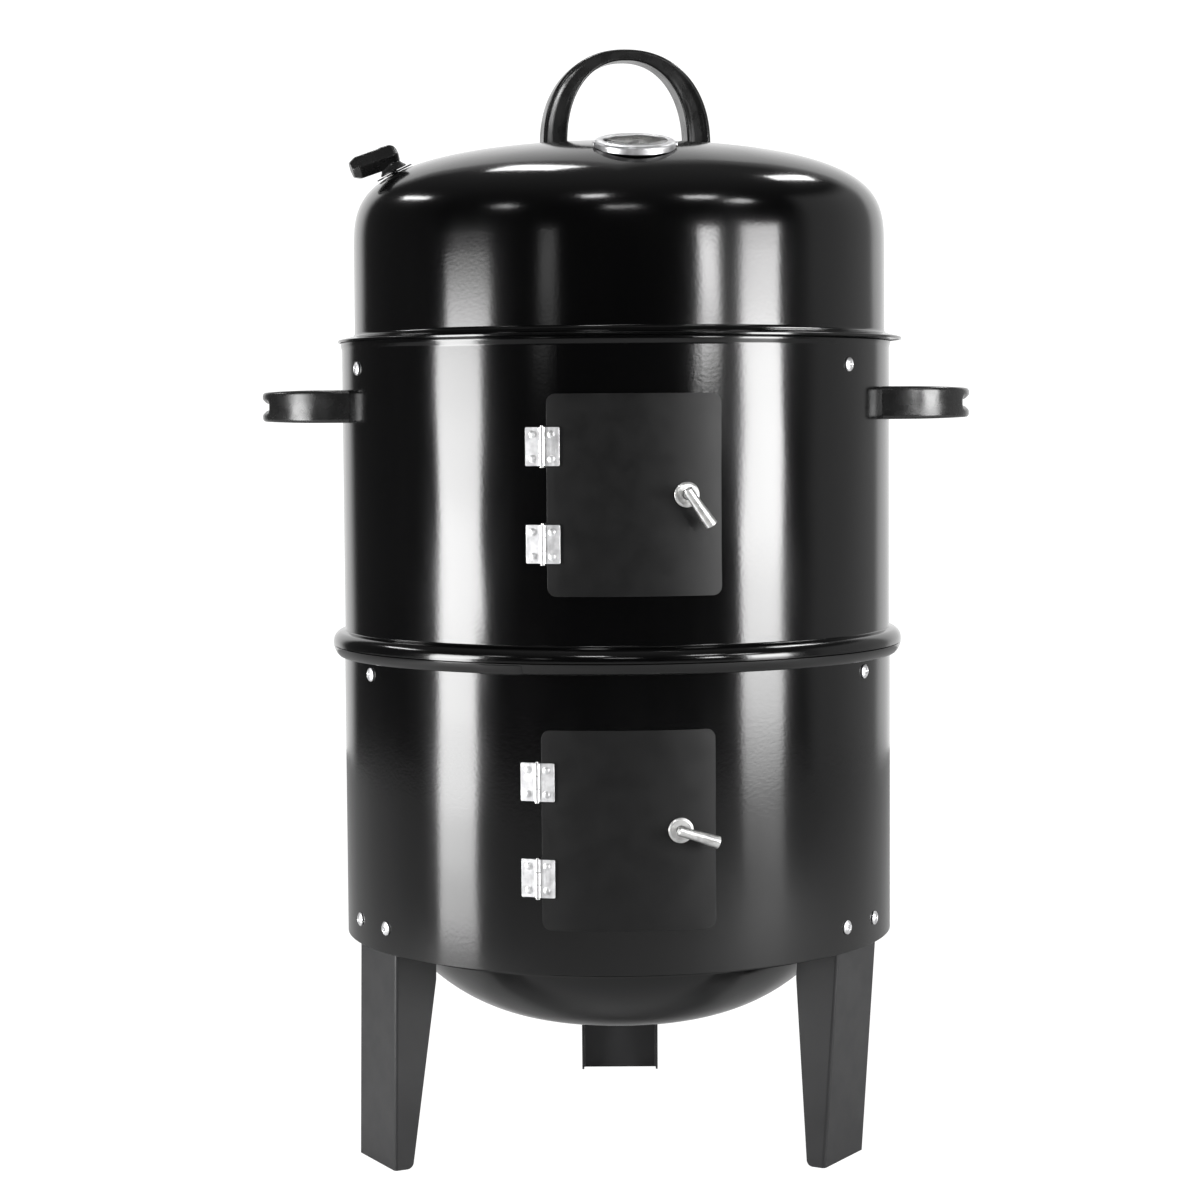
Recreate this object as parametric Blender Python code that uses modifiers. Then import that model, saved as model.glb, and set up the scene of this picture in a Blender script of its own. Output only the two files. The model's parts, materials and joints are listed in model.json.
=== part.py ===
"""Vertical water smoker: two stacked barrels on three legs, with a domed lid.

Metres, +Z up. The origin is on the floor under the barrels' axis, and the doors face -Y.
An azimuth is an angle round that axis, from the front (-Y) towards +X.
A wall frame has x to the right, y up along the wall and z outward, as seen from outside.
"""

import math

import bmesh
import bpy
from mathutils import Matrix, Vector

# ---- driving dimensions ----
GAP = 0.0003
SHEET = 0.0012
PLATE = 0.0015

LOWER_R = 0.1965
LOWER_BOTTOM = 0.1505
LOWER_TOP = 0.3650
UPPER_R = 0.1960
UPPER_BOTTOM = 0.3579
UPPER_TOP = 0.5735
BEAD_R = 0.2045
HOOP_BOTTOM = 0.3500

LID_R = 0.1897
LID_SPRING = 0.6286
LID_RISE = 0.0838
LID_WIDTH_POWER = 2.3
LID_HEIGHT_POWER = 4.0
BRIM_R = 0.2018
LID_SHIFT = 0.0030

RING_STEPS = 48
FLAT_TO_ROUND = math.cos(math.pi / RING_STEPS)
INNER_STEPS = 40
BOLT_STEPS = 8

BOLT_R = 0.0024
BOLT_HEAD_R = 0.0048
BOLT_HOLE_R = 0.0028
NUT_R = 0.0046
NUT_HEIGHT = 0.0040

LEG_AZIMUTHS = {"left": -61.0, "right": 59.0, "rear": 180.0}
LEG_LEANS = {"left": -0.9, "right": 4.0, "rear": 0.0}
LEG_FACE = 0.1925
LEG_HALF_WIDTH = 0.0300
LEG_TOP = 0.1459
LEG_TAB_TOP = 0.1880
LEG_BEND = 0.0025
LEG_FLANGE_TOP = 0.0310
LEG_FLANGE_FOOT = 0.0140
LEG_TRIM = 0.0020
LEG_BOLT_Z = 0.1680
LEG_BOLT_SPREAD = 6.2

LOWER_BRACKET_AZIMUTHS = {"left": -60.0, "right": 60.0, "rear": 180.0}
UPPER_BRACKET_AZIMUTHS = {"left": -65.7, "right": 54.0, "rear": 174.3}
BRACKET_WIDTH = 0.0220
BRACKET_TAIL = 0.0120
GRATE_LEDGE = 0.0150
PAN_LEDGE = 0.0270
LOWER_BRACKET_Z = 0.3425
UPPER_BRACKET_Z = 0.5535

DOOR_HALF_WIDTH = 0.0575
DOOR_HEIGHT = 0.1330
DOOR_CORNER = 0.0060
DOOR_OVERLAP = 0.0080
DOOR_STANDOFF = 0.0005
UPPER_DOOR_AZIMUTH = 3.6
UPPER_DOOR_Z = 0.4680
LOWER_DOOR_AZIMUTH = 2.1
LOWER_DOOR_Z = 0.2470

HINGE_SPREAD = 0.0320
HINGE_HEIGHT = 0.0255
HINGE_EDGE = 0.0028
LEAF_WIDTH = 0.0109
LEAF_SHEET = 0.0010
KNUCKLE_R = 0.0022
KNUCKLE_BORE_R = 0.0013
KNUCKLE_RISE = 0.0026
PIN_R = 0.0010
RIVET_R = 0.0014
RIVET_RISE = 0.0080

LATCH_FROM_EDGE = 0.0240
LATCH_REACH = 0.0285
LATCH_RISE = 0.0105
UPPER_LEVER_TURN = -55.0
LOWER_LEVER_TURN = -18.0
CAM_FROM_LEVER = -90.0
CAM_REACH = 0.0240
CAM_DEPTH = 0.0050

HANDLE_HALF_WIDTH = 0.0605
LID_HANDLE_HEIGHT = 0.0675
SIDE_HANDLE_HEIGHT = 0.0620
HANDLE_BAND = 0.0230
HANDLE_CROWN = 0.0080
HANDLE_FOOT = 0.0170
HANDLE_POWER = 2.2
LID_HANDLE_TURN = 10.0
LID_HANDLE_SHIFT = 0.0050
SIDE_HANDLE_Z = 0.5275

GAUGE_AZIMUTH = 4.6
GAUGE_FROM_AXIS = 0.1390
GAUGE_R = 0.0270
DAMPER_AZIMUTH = -76.0
DAMPER_FROM_AXIS = 0.1620
DAMPER_GRIP_TILT = 83.0
DAMPER_R = 0.0135
DAMPER_HOLES = 3
DAMPER_HOLE_R = 0.0028
DAMPER_HOLE_RING = 0.0084

GRATE_R = 0.1860
GRATE_WIRE_R = 0.0022
GRATE_RING_R = 0.0030
GRATE_PITCH = 0.0240
STRINGER_PLACE = 0.22
LOWER_GRATE_Z = 0.3590
UPPER_GRATE_Z = 0.5690
PAN_RIM_R = 0.1750
PAN_RIM_Z = 0.3150
BOWL_RIM_R = 0.1780
BOWL_RIM_Z = 0.1474

# ---- finishes: base colour, roughness, metallic ----
FINISHES = {
    "enamel": ((0.006, 0.006, 0.007), 0.16, 0.0),
    "door_black": ((0.020, 0.020, 0.022), 0.55, 0.0),
    "leg_black": ((0.018, 0.018, 0.019), 0.38, 0.0),
    "moulded": ((0.010, 0.010, 0.010), 0.30, 0.0),
    "zinc": ((0.62, 0.63, 0.65), 0.32, 1.0),
    "steel": ((0.50, 0.50, 0.51), 0.34, 1.0),
    "chrome": ((0.80, 0.80, 0.82), 0.08, 1.0),
    "glass": ((0.75, 0.78, 0.80), 0.03, 0.0),
    "needle_black": ((0.02, 0.02, 0.02), 0.50, 0.0),
}


# ---- scene and placing ----
def clear_scene():
    for obj in list(bpy.data.objects):
        bpy.data.objects.remove(obj)


def new_collection(name, shown=True):
    collection = bpy.data.collections.new(name)
    bpy.context.scene.collection.children.link(collection)
    collection.hide_render = not shown
    return collection


clear_scene()
PARTS = new_collection("vertical_water_smoker")
CUTTERS = new_collection("cutters", shown=False)
PIVOTS = new_collection("pivots")


def wall_frame(azimuth, radius, z, rise=0.0):
    """The frame on a wall facing outward, its normal raised by rise radians."""
    turn = math.radians(azimuth)
    level = Vector((math.sin(turn), -math.cos(turn), 0.0))
    right = Vector((math.cos(turn), math.sin(turn), 0.0))
    up = Vector((0.0, 0.0, 1.0))
    outward = level * math.cos(rise) + up * math.sin(rise)
    along = up * math.cos(rise) - level * math.sin(rise)
    matrix = Matrix((right, along, outward)).transposed().to_4x4()
    matrix.translation = level * radius + up * z
    return matrix


def shifted(x=0.0, y=0.0, z=0.0):
    return Matrix.Translation((x, y, z))


def turned_about_z(degrees):
    return Matrix.Rotation(math.radians(degrees), 4, "Z")


def material(name, finish):
    colour, roughness, metallic = FINISHES[finish]
    made = bpy.data.materials.new(name + "_" + finish)
    made.use_nodes = True
    shader = made.node_tree.nodes["Principled BSDF"]
    shader.inputs["Base Color"].default_value = (*colour, 1.0)
    shader.inputs["Roughness"].default_value = roughness
    shader.inputs["Metallic"].default_value = metallic
    return made


def place(name, mesh, matrix, finish):
    """A node when it has a finish, and otherwise a hidden cutter or helper."""
    obj = bpy.data.objects.new(name, mesh)
    (PARTS if finish else CUTTERS).objects.link(obj)
    obj.matrix_world = matrix
    if finish:
        mesh.materials.append(material(name, finish))
        mesh.shade_smooth()
        mesh.set_sharp_from_angle(angle=math.radians(35))
    else:
        obj.hide_render = True
        obj.display_type = "WIRE"
    return obj


def boolean(obj, operation, other):
    step = obj.modifiers.new(operation.lower(), "BOOLEAN")
    step.operation = operation
    step.solver = "EXACT"
    step.object = other
    return step


def mesh_from(name, bm):
    bmesh.ops.recalc_face_normals(bm, faces=bm.faces)
    mesh = bpy.data.meshes.new(name)
    bm.to_mesh(mesh)
    bm.free()
    return mesh


# ---- shapes ----
def add_rod(bm, radius, low, high, steps=12, matrix=None, end_radius=None):
    """A rod or cone along z, from low to high."""
    centre = shifted(z=(low + high) / 2)
    bmesh.ops.create_cone(
        bm,
        cap_ends=True,
        segments=steps,
        radius1=radius,
        radius2=radius if end_radius is None else end_radius,
        depth=high - low,
        matrix=(matrix or Matrix()) @ centre,
    )


def add_block(bm, size, matrix=None, corner=0.0, steps=3):
    """A box, with the four edges along z rounded when corner is given."""
    scale = Matrix.Diagonal((*size, 1.0))
    made = bmesh.ops.create_cube(bm, size=1.0, matrix=scale)
    verts = made["verts"]
    if corner:
        edges = {edge for vert in verts for edge in vert.link_edges}
        upright = [edge for edge in edges if abs(edge.verts[0].co.z - edge.verts[1].co.z) > size[2] / 2]
        rounded = bmesh.ops.bevel(bm, geom=upright, offset=corner, segments=steps, affect="EDGES", profile=0.5)
        verts = list({vert for vert in verts if vert.is_valid} | set(rounded["verts"]))
    bmesh.ops.transform(bm, matrix=matrix or Matrix(), verts=verts)


def screw(name, profile, matrix, finish, steps, closed):
    """The profile turned about z. It runs down the outer side, top to bottom."""
    bm = bmesh.new()
    verts = [bm.verts.new((radius, 0.0, z)) for radius, z in profile]
    for start, end in zip(verts, verts[1:]):
        bm.edges.new((start, end))
    if closed:
        bm.edges.new((verts[-1], verts[0]))
    mesh = bpy.data.meshes.new(name)
    bm.to_mesh(mesh)
    bm.free()
    obj = place(name, mesh, matrix, finish)
    turn = obj.modifiers.new("turn", "SCREW")
    turn.steps = steps
    turn.render_steps = steps
    turn.use_merge_vertices = True
    turn.merge_threshold = 0.00001
    turn.use_smooth_shade = True
    return obj


def ring(name, profile, finish, matrix=None, steps=RING_STEPS):
    return screw(name, profile, matrix or Matrix(), finish, steps, closed=True)


def solid_turning(name, profile, finish, matrix=None, steps=RING_STEPS):
    """As ring, for a profile that starts and ends on the axis."""
    return screw(name, profile, matrix or Matrix(), finish, steps, closed=False)


def arc(centre, radius, start, end, steps):
    """Points on an arc in the profile plane, angles in degrees from the radius."""
    points = []
    for step in range(steps + 1):
        angle = math.radians(start + (end - start) * step / steps)
        points.append((centre[0] + radius * math.cos(angle), centre[1] + radius * math.sin(angle)))
    return points


def folded_sheet(name, rows, thickness, matrix, finish):
    """A sheet through rows of points, thickened inward. None marks a point that a row leaves out."""
    bm = bmesh.new()
    grid = [[point and bm.verts.new(point) for point in row] for row in rows]
    for upper, lower in zip(grid, grid[1:]):
        for column in range(len(upper) - 1):
            corners = (upper[column], lower[column], lower[column + 1], upper[column + 1])
            if all(corners):
                bm.faces.new(corners)
    mesh = bpy.data.meshes.new(name)
    bm.to_mesh(mesh)
    bm.free()
    obj = place(name, mesh, matrix, finish)
    solid = obj.modifiers.new("sheet", "SOLIDIFY")
    solid.thickness = thickness
    solid.offset = -1.0
    solid.use_even_offset = True
    return obj


def extruded_outline(name, outline, depth, matrix, finish, bevel):
    """A flat outline in x and y, extruded by half its depth each way and rounded."""
    curve = bpy.data.curves.new(name, "CURVE")
    curve.dimensions = "2D"
    curve.fill_mode = "BOTH"
    curve.extrude = depth / 2
    spline = curve.splines.new("POLY")
    spline.points.add(len(outline) - 1)
    for point, (x, y) in zip(spline.points, outline):
        point.co = (x, y, 0.0, 1.0)
    spline.use_cyclic_u = True
    drawn = bpy.data.objects.new(name + "_outline", curve)
    CUTTERS.objects.link(drawn)
    bpy.context.view_layer.update()
    graph = bpy.context.evaluated_depsgraph_get()
    mesh = bpy.data.meshes.new_from_object(drawn.evaluated_get(graph))
    bpy.data.objects.remove(drawn)
    bm = bmesh.new()
    bm.from_mesh(mesh)
    bmesh.ops.remove_doubles(bm, verts=bm.verts, dist=0.00001)
    bmesh.ops.recalc_face_normals(bm, faces=bm.faces)
    bm.to_mesh(mesh)
    bm.free()
    mesh.name = name
    obj = place(name, mesh, matrix, finish)
    rounding = obj.modifiers.new("rounding", "BEVEL")
    rounding.width = bevel
    rounding.segments = 1
    rounding.limit_method = "ANGLE"
    rounding.angle_limit = math.radians(60)
    return obj


def union_with(obj, bm, name):
    boolean(obj, "UNION", place(name, mesh_from(name, bm), obj.matrix_world, None))


def cut_with(obj, bm, name):
    """Cuts bodies given in world coordinates."""
    boolean(obj, "DIFFERENCE", place(name, mesh_from(name, bm), Matrix(), None))


# ---- the lid's dome ----
def dome_point(angle, inset=0.0):
    """Radius and height on the dome at a profile angle in radians, 0 at the top."""
    radius = (LID_R - inset) * math.sin(angle) ** (2 / LID_WIDTH_POWER)
    height = (LID_RISE - inset) * math.cos(angle) ** (2 / LID_HEIGHT_POWER)
    return radius, LID_SPRING + height


def dome_frame(azimuth, radius, lift=0.0):
    """The wall frame on the dome's outside, at a distance from the lid's axis."""
    low, high = 0.0, math.pi / 2
    for _ in range(40):
        middle = (low + high) / 2
        if dome_point(middle)[0] < radius:
            low = middle
        else:
            high = middle
    before = dome_point(low - 0.01)
    after = dome_point(low + 0.01)
    rise = math.atan2(after[0] - before[0], before[1] - after[1])
    frame = wall_frame(azimuth, radius, dome_point(low)[1], rise)
    return shifted(x=LID_SHIFT) @ frame @ shifted(z=lift)


# ---- fasteners ----
def bolt(name, frame, grip):
    """A pan-head bolt with its nut, through a stack that is grip thick."""
    profile = [
        (0.0, 0.0027),
        (BOLT_HEAD_R * 0.70, 0.0022),
        (BOLT_HEAD_R, GAP),
        (BOLT_R, GAP),
        (BOLT_R, -grip),
        (NUT_R, -grip),
        (NUT_R, -grip - NUT_HEIGHT),
        (0.0, -grip - NUT_HEIGHT),
    ]
    return solid_turning(name, profile, "zinc", frame, BOLT_STEPS)


def radial_holes(places, radius):
    """One cutter with a short rod across the wall at each wall frame."""
    bm = bmesh.new()
    for frame in places:
        add_rod(bm, radius, -0.010, 0.006, 10, frame)
    return bm


# ---- barrels ----
def leg_bolt_frames(radius):
    frames = {}
    for side, azimuth in LEG_AZIMUTHS.items():
        for hand, sign in (("a", -1), ("b", 1)):
            turn = azimuth + sign * LEG_BOLT_SPREAD
            frames[side + "_" + hand] = wall_frame(turn, radius, LEG_BOLT_Z)
    return frames


def bracket_frames(azimuths, radius, z):
    return {side: wall_frame(azimuth, radius, z) for side, azimuth in azimuths.items()}


def door_opening(bm, azimuth, radius, z):
    size = (2 * (DOOR_HALF_WIDTH - DOOR_OVERLAP), DOOR_HEIGHT - 2 * DOOR_OVERLAP, 0.04)
    add_block(bm, size, wall_frame(azimuth, radius, z), DOOR_CORNER)


def hinge_heights():
    return {"top": HINGE_SPREAD, "bottom": -HINGE_SPREAD}


def degrees_along(length, radius):
    return math.degrees(length / radius)


def hinge_frame(azimuth, radius, z):
    """The frame on the hinge's axis, which stands clear of the barrel."""
    left_edge = math.degrees(math.asin(DOOR_HALF_WIDTH / (radius + DOOR_STANDOFF + SHEET)))
    turn = azimuth - left_edge - degrees_along(HINGE_EDGE, radius)
    return wall_frame(turn, radius + KNUCKLE_RISE, z)


def rivet_frames(azimuth, radius, z, face, hand):
    """The frames of a leaf's two rivets, on the side given by hand, on a face at that height."""
    left_edge = math.degrees(math.asin(DOOR_HALF_WIDTH / (radius + DOOR_STANDOFF + SHEET)))
    away = HINGE_EDGE - hand * (KNUCKLE_R + LEAF_WIDTH) / 2
    turn = azimuth - left_edge - degrees_along(away, radius)
    return [wall_frame(turn, radius + face, z + rise) for rise in (RIVET_RISE, -RIVET_RISE)]


def barrel_rivets(azimuth, radius, z):
    frames = []
    for height in hinge_heights().values():
        frames += rivet_frames(azimuth, radius, z + height, 0.0, -1)
    return frames


def make_lower_barrel():
    profile = [
        (LOWER_R, LOWER_TOP),
        (LOWER_R, LOWER_BOTTOM),
        (LOWER_R - SHEET, LOWER_BOTTOM),
        (LOWER_R - SHEET, LOWER_TOP),
    ]
    barrel = ring("lower_barrel", profile, "enamel")
    brackets = bracket_frames(LOWER_BRACKET_AZIMUTHS, LOWER_R, LOWER_BRACKET_Z)
    bolts = list(leg_bolt_frames(LOWER_R).values()) + list(brackets.values())
    cutter = radial_holes(bolts, BOLT_HOLE_R)
    door_opening(cutter, LOWER_DOOR_AZIMUTH, LOWER_R, LOWER_DOOR_Z)
    cut_with(barrel, cutter, "lower_barrel_openings")
    rivets = radial_holes(barrel_rivets(LOWER_DOOR_AZIMUTH, LOWER_R, LOWER_DOOR_Z), RIVET_R + GAP)
    cut_with(barrel, rivets, "lower_barrel_rivet_holes")


def make_stacking_hoop():
    inner = LOWER_R + GAP
    top = UPPER_BOTTOM - GAP
    profile = [
        (BEAD_R - 0.0010, top),
        (BEAD_R, top - 0.0016),
        (BEAD_R, HOOP_BOTTOM + 0.0030),
        (BEAD_R - 0.0020, HOOP_BOTTOM + 0.0008),
        (BEAD_R - 0.0050, HOOP_BOTTOM),
        (inner, HOOP_BOTTOM),
        (inner, top),
    ]
    ring("stacking_hoop", profile, "enamel")


def make_upper_barrel():
    inner = UPPER_R - SHEET
    skirt = LOWER_R + 0.0015
    profile = [
        (UPPER_R + 0.0005, UPPER_TOP),
        (UPPER_R + 0.0009, UPPER_TOP - 0.0030),
        (UPPER_R, UPPER_TOP - 0.0065),
        (UPPER_R, UPPER_BOTTOM + 0.0125),
        (skirt + SHEET, UPPER_BOTTOM + 0.0066),
        (BEAD_R - 0.0016, UPPER_BOTTOM + 0.0058),
        (BEAD_R, UPPER_BOTTOM + 0.0040),
        (BEAD_R, UPPER_BOTTOM + 0.0018),
        (BEAD_R - 0.0010, UPPER_BOTTOM),
        (skirt, UPPER_BOTTOM),
        (skirt, UPPER_BOTTOM + 0.0060),
        (inner, UPPER_BOTTOM + 0.0120),
        (inner, UPPER_TOP),
    ]
    barrel = ring("upper_barrel", profile, "enamel")
    brackets = bracket_frames(UPPER_BRACKET_AZIMUTHS, UPPER_R, UPPER_BRACKET_Z)
    cutter = radial_holes(brackets.values(), BOLT_HOLE_R)
    door_opening(cutter, UPPER_DOOR_AZIMUTH, UPPER_R, UPPER_DOOR_Z)
    cut_with(barrel, cutter, "upper_barrel_openings")
    rivets = radial_holes(barrel_rivets(UPPER_DOOR_AZIMUTH, UPPER_R, UPPER_DOOR_Z), RIVET_R + GAP)
    cut_with(barrel, rivets, "upper_barrel_rivet_holes")


# ---- legs and brackets ----
def make_leg(side):
    """A folded channel, drawn past the floor and trimmed level with it."""
    azimuth = LEG_AZIMUTHS[side]
    lean = math.tan(math.radians(LEG_LEANS[side]))
    half = LEG_HALF_WIDTH
    flat = half - LEG_BEND
    foot_corner = 0.0050
    levels = [
        (LEG_TOP, LEG_FLANGE_TOP),
        (LEG_TOP - 0.0150, LEG_FLANGE_TOP),
        (foot_corner, LEG_FLANGE_FOOT + 0.0004),
        (-LEG_TRIM, LEG_FLANGE_FOOT - foot_corner),
    ]
    rows = [[None, None, (-flat, LEG_TAB_TOP, 0.0), (flat, LEG_TAB_TOP, 0.0), None, None]]
    for z, flange in levels:
        face = -lean * (LEG_TOP - z)
        rows.append(
            [
                (-half, z, face - flange),
                (-half, z, face - LEG_BEND),
                (-flat, z, face),
                (flat, z, face),
                (half, z, face - LEG_BEND),
                (half, z, face - flange),
            ]
        )
    leg = folded_sheet("leg_" + side, rows, PLATE, wall_frame(azimuth, LEG_FACE, 0.0), "leg_black")
    frames = leg_bolt_frames(LOWER_R)
    mine = [frames[side + "_a"], frames[side + "_b"]]
    cutter = radial_holes(mine, 0.0032)
    floor = wall_frame(azimuth, LEG_FACE, -LEG_TRIM) @ Matrix.Rotation(math.pi / 2, 4, "X")
    add_block(cutter, (0.1, 0.1, 2 * LEG_TRIM), floor)
    cut_with(leg, cutter, "leg_" + side + "_cutter")
    slant = math.radians(LEG_BOLT_SPREAD)
    back = (LEG_FACE - PLATE) / math.cos(slant) - NUT_R * math.tan(slant)
    for hand in ("a", "b"):
        bolt("leg_" + side + "_bolt_" + hand, frames[side + "_" + hand], LOWER_R - back + GAP)


def make_bracket(name, azimuth, radius, bolt_z, ledges):
    """A folded strip bolted inside the wall. Each ledge is its height from the bolt and its reach."""
    half = BRACKET_WIDTH / 2
    inner = (radius - SHEET) * FLAT_TO_ROUND
    face = math.sqrt(inner**2 - half**2) - GAP
    (top, top_reach), (bottom, bottom_reach) = ledges
    path = [(top, -top_reach), (top, 0.0), (bottom, 0.0)]
    if bottom_reach:
        path.append((bottom, -bottom_reach))
    rows = [[(-half, y, z), (half, y, z)] for y, z in path]
    frame = wall_frame(azimuth, face, bolt_z)
    bracket = folded_sheet(name, rows, PLATE, frame, "zinc")
    holes = radial_holes([wall_frame(azimuth, radius, bolt_z)], BOLT_HOLE_R)
    cut_with(bracket, holes, name + "_hole")
    grip = radius - face + PLATE + GAP
    bolt(name + "_bolt", wall_frame(azimuth, radius, bolt_z), grip)


def make_brackets():
    """The lower ones carry a grate on top and the water pan below, the upper ones a grate."""
    rest = LOWER_GRATE_Z - GRATE_RING_R - GAP - LOWER_BRACKET_Z
    hold = PAN_RIM_Z - SHEET - GAP - PLATE - LOWER_BRACKET_Z
    ledges = ((rest, GRATE_LEDGE), (hold, PAN_LEDGE))
    for side, azimuth in LOWER_BRACKET_AZIMUTHS.items():
        make_bracket("lower_bracket_" + side, azimuth, LOWER_R, LOWER_BRACKET_Z, ledges)
    rest = UPPER_GRATE_Z - GRATE_RING_R - GAP - UPPER_BRACKET_Z
    ledges = ((rest, GRATE_LEDGE), (-BRACKET_TAIL, 0.0))
    for side, azimuth in UPPER_BRACKET_AZIMUTHS.items():
        make_bracket("upper_bracket_" + side, azimuth, UPPER_R, UPPER_BRACKET_Z, ledges)


# ---- what goes inside ----
def make_fire_bowl():
    centre = (0.0444, 0.2249)
    shoulder = 0.1376
    bottom = 0.0825
    crown = 0.3447
    rim_angle = math.degrees(math.asin((centre[1] - BOWL_RIM_Z) / shoulder))
    meet = 77.6
    outer = arc(centre, shoulder, -rim_angle, -meet, 4)
    inner = arc(centre, shoulder - SHEET, -meet, -rim_angle, 4)
    floor = arc((0.0, bottom + crown), crown, -meet, -90.0, 2)[1:-1]
    under = arc((0.0, bottom + crown), crown - SHEET, -90.0, -meet, 2)[1:-1]
    profile = [(0.0, bottom + SHEET)] + under + inner
    profile += [(inner[-1][0] + 0.0003, BOWL_RIM_Z), (BOWL_RIM_R, BOWL_RIM_Z), (BOWL_RIM_R, BOWL_RIM_Z - SHEET)]
    profile += [(outer[0][0] + 0.0010, BOWL_RIM_Z - SHEET)] + outer[1:] + floor + [(0.0, bottom)]
    solid_turning("fire_bowl", profile, "enamel", steps=INNER_STEPS)


def make_water_pan():
    floor = PAN_RIM_Z - 0.0820
    profile = [
        (0.0, floor + SHEET),
        (0.1480, floor + SHEET),
        (0.1578, floor + 0.0090),
        (0.1630, PAN_RIM_Z),
        (PAN_RIM_R, PAN_RIM_Z),
        (PAN_RIM_R, PAN_RIM_Z - SHEET),
        (0.1642, PAN_RIM_Z - SHEET),
        (0.1590, floor + 0.0084),
        (0.1486, floor),
        (0.0, floor),
    ]
    solid_turning("water_pan", profile, "enamel", steps=INNER_STEPS)


def make_grate(name, z):
    """A wire ring, bars across it in its plane, and two stringers welded under the bars."""
    bpy.ops.mesh.primitive_torus_add(
        major_segments=INNER_STEPS,
        minor_segments=6,
        major_radius=GRATE_R - GRATE_RING_R,
        minor_radius=GRATE_RING_R,
    )
    drawn = bpy.context.active_object
    mesh = drawn.data
    mesh.name = name
    bpy.data.objects.remove(drawn)
    grate = place(name, mesh, shifted(z=z), "zinc")
    ring_r = GRATE_R - GRATE_RING_R
    bars = bmesh.new()
    count = int(ring_r / GRATE_PITCH)
    for step in range(-count, count + 1):
        x = step * GRATE_PITCH
        half = math.sqrt(ring_r**2 - x**2)
        along = shifted(x=x) @ Matrix.Rotation(math.pi / 2, 4, "X")
        add_rod(bars, GRATE_WIRE_R, -half, half, 6, along)
    union_with(grate, bars, name + "_bars")
    stringers = bmesh.new()
    for y in (-STRINGER_PLACE * ring_r, STRINGER_PLACE * ring_r):
        half = math.sqrt(ring_r**2 - y**2)
        across = shifted(y=y, z=-1.4 * GRATE_WIRE_R) @ Matrix.Rotation(math.pi / 2, 4, "Y")
        add_rod(stringers, GRATE_WIRE_R, -half, half, 6, across)
    union_with(grate, stringers, name + "_stringers")
    return grate


# ---- doors, hinges and latches ----
def make_door(level, azimuth, radius, z):
    inner = radius + DOOR_STANDOFF
    outer = inner + SHEET
    half = DOOR_HEIGHT / 2 + 0.005
    band = [(outer, z + half), (outer, z - half), (inner, z - half), (inner, z + half)]
    panel = ring(level + "_door", band, "door_black", steps=3 * RING_STEPS)
    outline = bmesh.new()
    size = (2 * DOOR_HALF_WIDTH, DOOR_HEIGHT, 0.04)
    add_block(outline, size, wall_frame(azimuth, radius, z), DOOR_CORNER)
    helper = place(level + "_door_outline", mesh_from(level + "_door_outline", outline), Matrix(), None)
    boolean(panel, "INTERSECT", helper)
    holes = bmesh.new()
    for height in hinge_heights().values():
        for frame in rivet_frames(azimuth, radius, z + height, DOOR_STANDOFF + SHEET, 1):
            add_rod(holes, RIVET_R + GAP, -0.006, 0.006, 10, frame)
    add_rod(holes, 0.0034, -0.008, 0.006, 12, latch_frame(azimuth, radius, z))
    cut_with(panel, holes, level + "_door_holes")


def make_leaf(name, level, azimuth, radius, z, hand, face, grip):
    """One hinge leaf with its knuckles and two rivets. hand is -1 on the barrel and 1 on the door.

    The rivets are flush behind the door, which closes over the barrel's wall.
    """
    third = HINGE_HEIGHT / 3
    rivets = rivet_frames(azimuth, radius, z, face + GAP + LEAF_SHEET, hand)
    plate_frame = wall_frame(math.degrees(math.atan2(rivets[0][0][3], -rivets[0][1][3])), radius + face + GAP, z)
    axis = hinge_frame(azimuth, radius, z)
    width = LEAF_WIDTH - 0.0004
    plate = bmesh.new()
    add_block(plate, (width, HINGE_HEIGHT, LEAF_SHEET), shifted(z=LEAF_SHEET / 2), 0.0010, 1)
    leaf = place(name, mesh_from(name, plate), plate_frame, "zinc")
    inverse = plate_frame.inverted()
    barrels = bmesh.new()
    upright = Matrix.Rotation(math.pi / 2, 4, "X")
    spans = [(-third * 1.5, -third * 0.5 - GAP), (third * 0.5 + GAP, third * 1.5)]
    if hand > 0:
        spans = [(-third * 0.5, third * 0.5)]
    for low, high in spans:
        add_rod(barrels, KNUCKLE_R, low, high, 10, inverse @ axis @ upright)
    union_with(leaf, barrels, name + "_knuckles")
    pins = bmesh.new()
    for frame in rivets:
        add_rod(pins, RIVET_R, -grip, 0.0006, 8, inverse @ frame)
        add_rod(pins, 0.0024, -0.0004, 0.0010, 8, inverse @ frame, end_radius=0.0015)
        if hand < 0:
            add_rod(pins, 0.0022, -grip - 0.0010, -grip, 8, inverse @ frame)
    step = boolean(leaf, "UNION", place(name + "_rivets", mesh_from(name, pins), leaf.matrix_world, None))
    step.use_self = True
    hollow = bmesh.new()
    add_rod(hollow, KNUCKLE_BORE_R, -HINGE_HEIGHT, HINGE_HEIGHT, 8, axis @ upright)
    cut_with(leaf, hollow, name + "_bore")
    clear = bmesh.new()
    room = (KNUCKLE_R + 0.0004) * 2
    tall = third + 2 * GAP
    for centre in (0.0,) if hand < 0 else (-third, third):
        add_block(clear, (room, tall, room), axis @ shifted(y=centre))
    cut_with(leaf, clear, name + "_clearance")


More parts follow.
